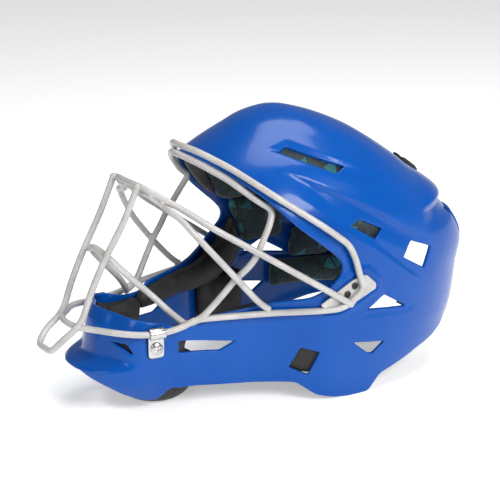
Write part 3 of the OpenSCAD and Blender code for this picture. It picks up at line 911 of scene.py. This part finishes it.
def webbingSheet(name, loop, p):
    return mouldedSheet(name, [loop], 1.4, p["thick"], webbing, inset=p["inset"], bulge=0.35, rimSteps=4)


def buildRear():
    p = softPieces["rearPlate"]
    plate = mouldedSheet("rearPlate", [angleLoop(p["turn"], 3.0, 1.6)], 2.0, p["thick"], blue, bulge=0.9)
    mount(plate, "shell", "rear_plate", body=plateBody)
    p = softPieces["rearFoam"]
    pad = mouldedSheet("rearPlateFoam", [angleLoop(p["turn"], 3.5, 2.2)], 2.8, p["thick"], foam,
                       inset=p["inset"], bulge=0.3, innerShape=crowned(p["thick"]))
    finishPad(pad, "rear_plate_pad", "eva_foam", plateBody)
    p = softPieces["topStrap"]
    strap = webbingSheet("topStrap", angleLoop(p["turn"], 0.6, 1.0), p)
    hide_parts("top_strap", "plate_tab")
    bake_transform(strap)
    p = softPieces["elastic"]
    left = angleLoop(p["turn"], 0.6, 1.0)
    for side, loop, sign in (("Left", left, 1), ("Right", mirrored(left), -1)):
        band = webbingSheet("elastic" + side, loop, p)
        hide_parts("elastic_" + side.lower(), "elastic_end_" + side.lower())
        ends = skinPoint(sign * np.array(p["stretch"]), np.full(2, p["middle"])) * mm
        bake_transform(band)


buildTopPads()
buildRear()
print("top and rear ready")

cupSettings = {
    "centre": (0, -91.73, 0), "foot": 14.0, "radius": 33.0, "height": 28.0, "wall": 8.0, "round": 26.0,
    "around": 160, "ribs": 8, "ribDepth": 0.9,
}


def cupProfile():
    # (radius, height) from the foot's middle over the rim to the hollow's middle
    c = cupSettings
    wide, roundOver = c["radius"], c["round"]
    outer = [(0.01, 0.0), (5, 0), (10, 0), (13, 0.1)]
    for a in np.radians(np.arange(6, 91, 4)):
        outer.append((c["foot"] + (wide - c["foot"]) * math.sin(a), roundOver - roundOver * math.cos(a)))
    outer += [(wide, 26.8), (wide - 0.8, 27.8), (wide - 2.5, c["height"]), (wide - 4.5, c["height"]),
              (wide - 6.2, 27.8), (wide - 7.0, 26.6)]
    inner = []
    for a in np.radians(np.arange(86, -1, -5)):
        inner.append((10 + (wide - 18) * math.sin(a), roundOver - (roundOver - c["wall"]) * math.cos(a)))
    inner += [(6, c["wall"]), (3, c["wall"]), (0.01, c["wall"])]
    return outer, inner


def buildCup():
    c = cupSettings
    around = c["around"]
    outer, inner = cupProfile()
    turn = np.radians(np.arange(around) * 360 / around)
    groove = np.abs(((turn * c["ribs"] / (2 * math.pi)) % 1) - 0.5)
    points = []
    for k, (r, z) in enumerate(outer + inner):
        if k < len(outer) and 3 < z < 25:
            # moulded panels with soft grooves between them
            depth = ramp((groove - 0.40) / 0.07) * ramp((z - 3) / 4) * ramp((25 - z) / 3)
            r = r - c["ribDepth"] * depth
        points.append(np.stack([r * np.sin(turn), r * np.cos(turn), np.full(around, z)], 1))
    rings = np.arange(len(points) * around).reshape(-1, around)
    faces = joinRings(rings) + [rings[0][::-1], rings[-1]]
    cup = toObject("chinCup", np.concatenate(points) + np.array(c["centre"]), faces, foam)
    outwardNormals(cup)
    mount(cup, "eva_foam", "chin_cup")


buildCup()
print("chin cup ready")

cage = {
    "wire": 2.4, "bend": 9.0, "sides": 20,  # wire radius, bend reach, faces round the wire
    "bead": 2.75, "weldWithin": 5.4, "weldApart": 9.0,
    # left half of each wire, ending at the mask's middle
    "bars": {
        "rim_upper": [(92.8, 31, 79.5), (93, 40.5, 87.5), (93, 38, 95), (92.5, 33, 112), (91.5, 28, 122.5),
                      (88, 9.8, 137), (69.5, -24.4, 162.5), (41, -43, 179), (18, -57, 188.5), (0, -62, 190.5)],
        "rim_lower": [(92.5, 30, 78), (92.5, 20, 75), (88.2, 6.3, 74.6), (66.3, -25, 72.2),
                      (52.5, -67.2, 72.2), (49, -78.5, 71.7), (48.2, -86.1, 68.3), (47.6, -99.1, 66.1),
                      (45.3, -117, 66.1), (38.2, -134.2, 68.6), (14, -154.6, 70), (0, -157.4, 70)],
        "arch": [(45.5, -84.3, 69), (48.5, -78.5, 69.7), (51.5, -71, 75.1), (56, -63, 85.5), (62, -50.7, 102),
                 (65.5, -42.2, 110.2), (67.5, -37.2, 117), (64.5, -23.7, 138.8), (61, -18.7, 148.6),
                 (56, -29.5, 156), (41, -45, 170.8), (18, -58.6, 180.9), (0, -66, 185.5)],
        "nose_bar": [(45.5, -84.3, 69), (34.5, -90.3, 75.6), (26, -99.9, 87.4), (19.5, -116.6, 104.2),
                     (14.8, -129.5, 118.7), (0, -132.3, 123.3)],
        "eye_bar": [(94.5, 28, 78), (92.3, 14, 87.5), (72, -36.4, 121.1), (54, -61.7, 137.7),
                    (37, -84.7, 155.2), (31, -91.1, 159.4), (20, -102, 167.2), (12, -105.5, 169),
                    (0, -106, 169)],
        "v_bar": [(66.3, -26.3, 75.9), (66, -35, 83.3), (67, -50.5, 100.6), (62, -68.3, 122),
                  (52, -80.8, 139.1), (47, -86, 147), (39.5, -91.8, 153.5), (31, -90.5, 154),
                  (21, -99.5, 162.5), (12, -103, 165), (0, -103.5, 165.2)],
        "throat_bar": [(18.4, -106.6, 168.5), (18, -117.6, 144.2), (16.5, -133.2, 117.9), (15.8, -144.3, 95.6),
                       (15.5, -152.5, 72.7), (14.5, -167, 62.8), (10.5, -175, 54), (0, -175, 54)]},
}


def newTree(name, sockets):
    tree = bpy.data.node_groups.new(name, "GeometryNodeTree")
    tree.interface.new_socket("Geometry", in_out="INPUT", socket_type="NodeSocketGeometry")
    for label, kind in sockets:
        tree.interface.new_socket(label, in_out="INPUT", socket_type=kind)
    tree.interface.new_socket("Geometry", in_out="OUTPUT", socket_type="NodeSocketGeometry")
    return tree, tree.nodes.new("NodeGroupInput"), tree.nodes.new("NodeGroupOutput")


def applyTree(obj, tree, values):
    modifier = obj.modifiers.new("tree", "NODES")
    modifier.node_group = tree
    for item in tree.interface.items_tree:
        if item.item_type == "SOCKET" and item.in_out == "INPUT" and item.name in values:
            modifier[item.identifier] = values[item.name]
    bakeModifiers(obj)


def endTree(tree, geometry, start, end):
    # the export drops instances, so every tree ends in a real mesh with its material
    real = addNode(tree, "GeometryNodeRealizeInstances", {0: geometry})
    done = addNode(tree, "GeometryNodeSetMaterial", {"Geometry": real.outputs[0],
                                                     "Material": start.outputs["Material"]})
    tree.links.new(done.outputs[0], end.inputs[0])
    return tree


def sweepTree():
    tree, start, end = newTree("wireSweep", [("Radius", "NodeSocketFloat"), ("Sides", "NodeSocketInt"),
                                             ("Material", "NodeSocketMaterial")])
    curve = addNode(tree, "GeometryNodeMeshToCurve", {0: start.outputs["Geometry"]})
    circle = addNode(tree, "GeometryNodeCurvePrimitiveCircle",
                     {"Resolution": start.outputs["Sides"], "Radius": start.outputs["Radius"]})
    swept = addNode(tree, "GeometryNodeCurveToMesh", {"Curve": curve.outputs[0],
                                                      "Profile Curve": circle.outputs[0], "Fill Caps": True})
    soft = addNode(tree, "GeometryNodeSetShadeSmooth", {"Geometry": swept.outputs[0]})
    return endTree(tree, soft.outputs[0], start, end)


def instanceTree():
    # a copy of one object on every point, turned by the point's own "turn"
    tree, start, end = newTree("repeatOnPoints", [("Copy", "NodeSocketObject"),
                                                  ("Material", "NodeSocketMaterial")])
    source = addNode(tree, "GeometryNodeObjectInfo", {"Object": start.outputs["Copy"]})
    turn = addNode(tree, "GeometryNodeInputNamedAttribute", {"Name": "turn"}, data_type="FLOAT_VECTOR")
    rotation = addNode(tree, "FunctionNodeEulerToRotation", {0: turn.outputs["Attribute"]})
    placed = addNode(tree, "GeometryNodeInstanceOnPoints",
                     {"Points": start.outputs["Geometry"], "Instance": source.outputs["Geometry"],
                      "Rotation": rotation.outputs[0]})
    return endTree(tree, placed.outputs[0], start, end)


def repeatPiece(name, template, places, finish):
    # places: (point in mm, euler turn)
    mesh = toMesh(name, [p for p, _ in places], [])
    mesh.attributes.new("turn", "FLOAT_VECTOR", "POINT").data.foreach_set(
        "vector", np.array([t for _, t in places], np.float32).ravel())
    obj = addObject(name, mesh)
    applyTree(obj, repeatOnPoints, {"Copy": template, "Material": finish})
    return obj


def bendPath(half, reach):
    # both halves of a wire, with a round bend at every corner
    p = np.array(half, float) - np.array([0, maskShape["middle"], 0])
    full = np.concatenate([p, p[:-1][::-1] * np.array([-1, 1, 1])])
    out = [full[:1]]
    for a, b, c in zip(full[:-2], full[1:-1], full[2:]):
        before, after = np.linalg.norm(b - a), np.linalg.norm(c - b)
        r = min(reach, 0.48 * before, 0.48 * after)
        start = b + (a - b) / before * r
        end = b + (c - b) / after * r
        t = np.linspace(0, 1, 9)[:, None]
        out.append((1 - t) ** 2 * start + 2 * t * (1 - t) * b + t * t * end)
    out.append(full[-1:])
    return np.concatenate(out)


def weldSpots(a, b):
    # the middles of the places where two wires touch
    tree = kdtree.KDTree(len(b))
    for k, p in enumerate(b):
        tree.insert(p, k)
    tree.balance()
    found = [(tree.find(p)[2], p, np.array(tree.find(p)[0])) for p in a]
    spots = []
    for _, p, q in sorted([f for f in found if f[0] < cage["weldWithin"]], key=lambda f: f[0]):
        middle = 0.5 * (p + q)
        if all(np.linalg.norm(middle - s) > cage["weldApart"] for s in spots):
            spots.append(middle)
    return spots


def beadTemplate():
    bm = bmesh.new()
    bmesh.ops.create_icosphere(bm, subdivisions=3, radius=cage["bead"] * mm)
    for v in bm.verts:
        v.co *= 1 + 0.05 * math.sin(v.co.x * 2500) * math.cos(v.co.y * 2100)
    return fromBmesh("bead", bm)


wireSweep = sweepTree()
repeatOnPoints = instanceTree()


def buildCage():
    paths = {}
    for name, half in cage["bars"].items():
        path = bendPath(half, cage["bend"])
        paths[name] = densify(path, 0.5, closed=False)
        links = [(i, i + 1) for i in range(len(path) - 1)]
        bar = addObject("wire_" + name, toMesh("cage_" + name, path, [], links))
        applyTree(bar, wireSweep, {"Radius": cage["wire"] * mm, "Sides": cage["sides"], "Material": coat})
        outwardNormals(bar)
        mount(bar, "cage_wire", "cage_" + name)
    names = list(paths)
    beads = []
    for i, first in enumerate(names):
        for second in names[i + 1:]:
            beads += weldSpots(paths[first], paths[second])
    beads += [p for path in paths.values() for p in (path[0], path[-1])]
    places = [(m, (0.7 * k, 0.3 * k, 0)) for k, m in enumerate(beads)]  # each bead turned a little more
    weld = repeatPiece("weldBeads", beadTemplate(), places, coat)
    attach(weld, rootBody)
    print("cage ready,", len(beads), "beads")


buildCage()

fittings = {
    "plate": [(5, 79.5), (32, 94), (41, 97), (45, 96.5), (53, 89), (53, 85), (31, 75.2), (23, 72), (12, 72.5)],
    "plateHoles": [(27.5, 84.5), (33.8, 90.2)], "holeRadius": 2.3,
    "plateX": 88.9, "plateY": 25.0, "plateThick": 2.0, "plateTurn": 2.6,
    "clipAt": (43, -107.6, 54.5), "clipTurn": -7.4, "wireOver": 11.6,  # the wire lies this far above the clip
    "clipWide": 6.0, "clipThick": 0.8, "clipCorner": 0.45,  # half width, half thickness
    "anchorZ": 150.0, "anchorLean": -40.0, "anchorWide": 24.0,
    "anchor": [(-12, 0.7), (11, 0.7), (10, 3.2), (6, 4.2), (-7, 3.4), (-11, 1.8)],
    "dots": [(70, 135), (20, 150), (60, 108), (110, 48), (32, 42), (-65, 62)],
    "dotDepth": 4.15, "dotRadius": 4.6, "dotThick": 0.5,
}


def smoothOutline(points, soft, spacing):
    return resample(roundCorners(densify(points, 0.3), soft, 0.25), spacing)


def offsetLine(loop, by):
    ahead = np.roll(loop, -1, 0) - np.roll(loop, 1, 0)
    n = np.stack([ahead[:, 1], -ahead[:, 0]], 1)
    return loop + n / np.linalg.norm(n, axis=1, keepdims=True) * by


def moved(points, matrix):
    return (np.c_[points, np.ones(len(points))] @ np.array(matrix).T)[:, :3]


def flatPlate(name, loops, thick, bevel, matrix, finish, steps=4):
    # a flat plate in its own plane with rounded edges, then put in place by the matrix (in millimetres)
    flats = [l[::-1] if (signedArea(l) > 0) != (i == 0) else l for i, l in enumerate(loops)]
    inset = [offsetLine(l, -bevel) for l in flats]
    edge = np.concatenate(inset)
    tris = fillLoops(edge, inset)
    points = [np.c_[edge, np.full(len(edge), thick)], np.c_[edge, np.zeros(len(edge))]]
    faces = list(tris) + list(tris[:, ::-1] + len(edge))
    curve = [(bevel * math.sin(t), bevel * math.cos(t)) for t in np.linspace(0, math.pi / 2, steps + 1)[1:]]
    rounds = [(out, thick - bevel + up) for out, up in curve]
    rounds += [(out, bevel - up) for out, up in curve[::-1]]
    first, count = 0, 2 * len(edge)
    for l in flats:
        ids = np.arange(len(l))
        rings = [ids + first]
        for out, height in rounds:
            points.append(np.c_[offsetLine(l, out - bevel), np.full(len(l), height)])
            rings.append(ids + count)
            count += len(l)
        faces += joinRings(rings + [ids + first + len(edge)])
        first += len(l)
    obj = toObject(name, moved(np.concatenate(points), matrix), faces, finish)
    outwardNormals(obj)
    return obj


def frameAt(origin, *turns):
    m = Matrix.Translation(Vector(origin) - Vector((0, maskShape["middle"], 0)))
    for degrees, axis in turns:
        m = m @ Matrix.Rotation(math.radians(degrees), 4, axis)
    return m


def flipped(obj, name):
    mesh = obj.data.copy()
    mesh.transform(Matrix.Scale(-1, 4, (1, 0, 0)))
    mesh.flip_normals()
    return addObject(name, mesh)


def screwHead(name, radius, height, recess):
    # a low domed head with a cross recess, standing on its origin
    rings, around = 26, 96
    turn = np.radians(np.arange(around) * 360 / around)
    points = [np.array([[0, 0, height - recess]])]
    for r in np.linspace(0, 1, rings)[1:]:
        x, y = r * radius * np.sin(turn), r * radius * np.cos(turn)
        arm, reach = np.minimum(np.abs(x), np.abs(y)), np.maximum(np.abs(x), np.abs(y))
        cross = ramp((0.17 - arm / radius) / 0.08) * ramp((0.62 - reach / radius) / 0.10)
        points.append(np.stack([x, y, height * (1 - 0.55 * r ** 3.2) - recess * cross], 1))
    points.append(np.stack([radius * np.sin(turn), radius * np.cos(turn), 0 * turn], 1))
    ids = 1 + np.arange(rings * around).reshape(-1, around)
    faces = [[0, b, a] for a, b in zip(ids[0], np.roll(ids[0], -1))] + joinRings(ids) + [ids[-1]]
    obj = bpy.data.objects.new(name, toMesh(name, np.concatenate(points), faces))
    outwardNormals(obj)
    return obj


def hexNut(name, across, height, bore):
    # a nut with chamfered corners and a plain bore, standing on its origin
    sides, full = 48, across / 2 / math.cos(math.pi / 6)
    turn = np.arange(sides) * 2 * math.pi / sides
    flat = across / 2 / np.cos(turn % (math.pi / 3) - math.pi / 6)
    rings = [(np.minimum(flat, full * chamfer), z)
             for z, chamfer in ((0, 0.93), (0.35, 1.0), (height - 0.35, 1.0), (height, 0.93))]
    rings += [(np.full(sides, bore), height), (np.full(sides, bore), 0)]
    points = [np.stack([r * np.cos(turn), r * np.sin(turn), np.full(sides, z)], 1) for r, z in rings]
    ids = np.arange(len(rings) * sides).reshape(-1, sides)
    faces = joinRings(np.concatenate([ids, ids[:1]]))
    obj = bpy.data.objects.new(name, toMesh(name, np.concatenate(points), faces))
    outwardNormals(obj)
    return obj


def cylinderTemplate(name, radius, height):
    bm = bmesh.new()
    bmesh.ops.create_cone(bm, cap_ends=True, segments=32, radius1=radius * mm, radius2=radius * mm,
                          depth=height * mm, matrix=Matrix.Translation((0, 0, height * mm / 2)))
    bmesh.ops.bevel(bm, geom=[e for e in bm.edges if abs(e.verts[0].co.z - e.verts[1].co.z) < 1e-7],
                    offset=0.25 * mm, segments=2, affect="EDGES")
    return fromBmesh(name, bm)


def placeAt(matrix, height, y=0.0):
    m = matrix @ Matrix.Translation((0, y, height))
    return tuple(m.translation), tuple(m.to_euler())


def bothSides(matrices, height):
    # the same place on the left and, mirrored and kept a turn, on the right
    flip = Matrix.Scale(-1, 4, (1, 0, 0))
    places = []
    for matrix in matrices:
        m = matrix @ Matrix.Translation((0, 0, height))
        places += [placeAt(m, 0), placeAt(flip @ m @ flip, 0)]
    return places


def clipFrame():
    return frameAt(fittings["clipAt"], (fittings["clipTurn"], "Z"), (90, "Y"))


def templeFrame():
    f = fittings
    return frameAt((f["plateX"], f["plateY"], 0), (-f["plateTurn"], "Z"))


def bothMounted(left, name, node, slot):
    right = flipped(left, name + "Right")
    mount(left, slot, node + "_left")
    mount(right, slot, node + "_right")


def buildTemplePlates():
    f = fittings
    outline = smoothOutline([(y - f["plateY"], z) for y, z in f["plate"]], 1.0, 0.8)
    turn = np.linspace(0, 2 * math.pi, 20, endpoint=False)
    ring = f["holeRadius"] * np.stack([np.cos(turn), np.sin(turn)], 1)
    holes = [smoothOutline(ring + (y - f["plateY"], z), 0.2, 0.5) for y, z in f["plateHoles"]]
    plane = templeFrame() @ Matrix(((0, 0, 1, 0), (1, 0, 0, 0), (0, 1, 0, 0), (0, 0, 0, 1)))
    left = flatPlate("templePlateLeft", [outline] + holes, f["plateThick"], 0.6, plane, coat)
    bothMounted(left, "templePlate", "temple_plate", "cage_wire")


def clipPath():
    # the strip's middle line in the clip's own frame: up the jaw, then round the wire
    centre, out, r = -fittings["wireOver"], 3.5, cage["wire"] + 1.1
    flat = [(7.4 - 0.5 * k, 1.6) for k in range(33)]
    path = [p for p in flat if p[0] > centre + r * math.cos(math.radians(33)) + 0.6]
    for a in np.radians(np.arange(-33, -333, -9)):
        path.append((centre + r * math.cos(a), out + r * math.sin(a)))
    return np.array(path)


def clipSection():
    # the strip's cross section, with round corners
    f, section = fittings, []
    wide, thick, corner = f["clipWide"] - f["clipCorner"], f["clipThick"] - f["clipCorner"], f["clipCorner"]
    for cx, cy, start in ((1, 1, 0), (-1, 1, 90), (-1, -1, 180), (1, -1, 270)):
        for a in np.radians(start + np.arange(0, 91, 30)):
            section.append((cx * wide + corner * math.cos(a), cy * thick + corner * math.sin(a)))
    return np.array(section)


def buildJawClips():
    path, section = clipPath(), clipSection()
    ahead = np.gradient(path, axis=0)
    ahead /= np.linalg.norm(ahead, axis=1, keepdims=True)
    travel = np.concatenate([[0], np.cumsum(np.linalg.norm(np.diff(path, axis=0), axis=1))])
    roundOver = 3.0  # the strip's lower end is rounded over this length
    points = []
    for p, a, t in zip(path, ahead, travel):
        wide = 1.0 if t >= roundOver else 0.55 + 0.45 * math.sqrt(1 - (1 - t / roundOver) ** 2)
        out = section[:, 1]
        points.append(np.stack([p[0] - a[1] * out, section[:, 0] * wide, p[1] + a[0] * out], 1))
    rings = np.arange(len(path) * len(section)).reshape(-1, len(section))
    faces = joinRings(rings) + [rings[0][::-1], rings[-1]]
    left = toObject("jawClipLeft", moved(np.concatenate(points), clipFrame()), faces, zinc)
    outwardNormals(left)
    left.modifiers.new("edges", "EDGE_SPLIT").split_angle = math.radians(50)
    bakeModifiers(left)
    bothMounted(left, "jawClip", "jaw_clip", "bright_steel")


def buildScrews():
    big = screwHead("screwBig", 4.6, 2.4, 1.3)
    small = screwHead("screwSmall", 2.6, 1.0, 0.6)
    nut = hexNut("nut", 7.0, 2.6, 2.05)
    shank = cylinderTemplate("shank", 2.0, 9.0)
    clips = [clipFrame()]
    temples = [templeFrame() @ Matrix.Translation((0, y - fittings["plateY"], z)) @
               Matrix.Rotation(math.radians(90), 4, "Y") for y, z in fittings["plateHoles"]]
    for name, template, frames, height, finish, slot, node in (
            ("clipScrewHeads", big, clips, 2.5, zinc, "bright_steel", "clip_screws"),
            ("clipScrewShanks", shank, clips, -6.5, zinc, "bright_steel", "clip_screws"),
            ("clipNuts", nut, clips, -6.6, zinc, "bright_steel", "clip_nuts"),
            ("templeScrewHeads", small, temples, 2.3, oxide, "dark_steel", "temple_screws"),
            ("templeScrewShanks", shank, temples, -6.8, oxide, "dark_steel", "temple_screws"),
            ("templeNuts", nut, temples, -6.4, zinc, "bright_steel", "temple_nuts")):
        mount(repeatPiece(name, template, bothSides(frames, height), finish), slot, node)
    return shank


def buildAnchor(shank):
    # the strap's anchor on the back of the crown, and its screw
    f = fittings
    at = Vector(skinPoint(np.array([0.0]), np.array([f["anchorZ"]]))[0]) + Vector((0, maskShape["middle"], 0))
    back = frameAt(at, (f["anchorLean"], "X"))
    side = back @ Matrix.Rotation(math.radians(90), 4, "X") @ Matrix.Rotation(math.radians(90), 4, "Y")
    side = side @ Matrix.Translation((0, 0, -f["anchorWide"] / 2))
    outline = smoothOutline(f["anchor"], 0.6, 0.6)
    anchor = flatPlate("strapAnchor", [outline], f["anchorWide"], 0.3, side, foam)
    mount(anchor, "moulded_black", "strap_anchor")
    head = screwHead("screwFlat", 3.6, 1.1, 0.7)
    mount(repeatPiece("strapScrewHead", head, [placeAt(back, 3.7, -6)], oxide), "dark_steel", "strap_screw")
    mount(repeatPiece("strapScrewShank", shank, [placeAt(back, -5, -6)], oxide), "dark_steel", "strap_screw")


def buildDots():
    # hook dots that hold the pads, just inside the wall and its creases
    f = fittings
    disc = cylinderTemplate("dotTemplate", f["dotRadius"], f["dotThick"])
    places = []
    for y, z in np.array(f["dots"], float):
        height = np.array([z])
        angle, _ = sideAngle(np.array([y]), height, False)
        p, n = skinPoint(angle, height)[0], skinNormal(angle, height)[0]
        p = p + n * min(0.0, shellSculpt(p[None])[0]) - n * f["dotDepth"]
        for flip in (np.array([1, 1, 1]), np.array([-1, 1, 1])):
            places.append((p * flip, tuple(Vector(n * flip).to_track_quat("Z", "Y").to_euler())))
    mount(repeatPiece("linerDots", disc, places, webbing), "webbing", "liner_dots")


buildTemplePlates()
buildJawClips()
buildAnchor(buildScrews())
buildDots()
print("fittings ready")

studio = {
    "lookAt": (0, -0.00573, 0.0995), "azimuth": 57.9, "elevation": 17.0, "distance": 1.23077, "lens": 115.2,
    "floorHalf": 40000, "floorTones": ((0.90, 0.90, 0.90), (0.93, 0.93, 0.93)),
    "floorGlow": 0.38, "ambient": 0.24,
    # name, place in metres, size, power
    "lamps": [("key", (1.5, 0.15, 1.05), 0.8, 26), ("front", (0.5, -1.6, 0.9), 0.8, 7),
              ("top", (0.0, 0.3, 1.7), 1.0, 16)],
}


def buildCamera():
    s = studio
    a, e = math.radians(s["azimuth"]), math.radians(s["elevation"])
    back = Vector((math.sin(a) * math.cos(e), -math.cos(a) * math.cos(e), math.sin(e)))
    camera = addObject("camera", bpy.data.cameras.new("camera"))
    camera.data.lens = s["lens"]
    camera.data.sensor_width = 36
    camera.location = Vector(s["lookAt"]) + back * s["distance"]
    camera.rotation_euler = back.to_track_quat("Z", "Y").to_euler()
    bpy.context.scene.camera = camera


def buildFloor():
    mat, tree, shader = newMaterial("paleFloor", studio["floorTones"][0], 0.7)
    paint(tree, shader, noise(tree, objectPlace(tree), 3, 2), *studio["floorTones"])
    shader.inputs["Emission Color"].default_value = (1, 1, 1, 1)
    shader.inputs["Emission Strength"].default_value = studio["floorGlow"]
    h = studio["floorHalf"]
    floor = toObject("floor", [(-h, -h, 0), (h, -h, 0), (h, h, 0), (-h, h, 0)], [(0, 1, 2, 3)], mat)


def buildLights():
    # the background is white to the camera and dimmer as a light
    world = bpy.data.worlds.new("studioWorld")
    world.use_nodes = True
    tree = world.node_tree
    seen = addNode(tree, "ShaderNodeLightPath").outputs["Is Camera Ray"]
    tree.links.new(remap(tree, seen, studio["ambient"], 1.0), tree.nodes["Background"].inputs[1])
    tree.nodes["Background"].inputs[0].default_value = (1, 1, 1, 1)
    bpy.context.scene.world = world
    for name, spot, size, power in studio["lamps"]:
        lamp = bpy.data.lights.new(name, "AREA")
        lamp.shape = "DISK"
        lamp.size = size
        lamp.energy = power
        obj = addObject(name, lamp)
        obj.location = spot
        obj.rotation_euler = (Vector(spot) - Vector(studio["lookAt"])).to_track_quat("Z", "Y").to_euler()


buildCamera()
buildFloor()
buildLights()
bpy.context.scene.view_settings.view_transform = "Standard"
print("studio ready")
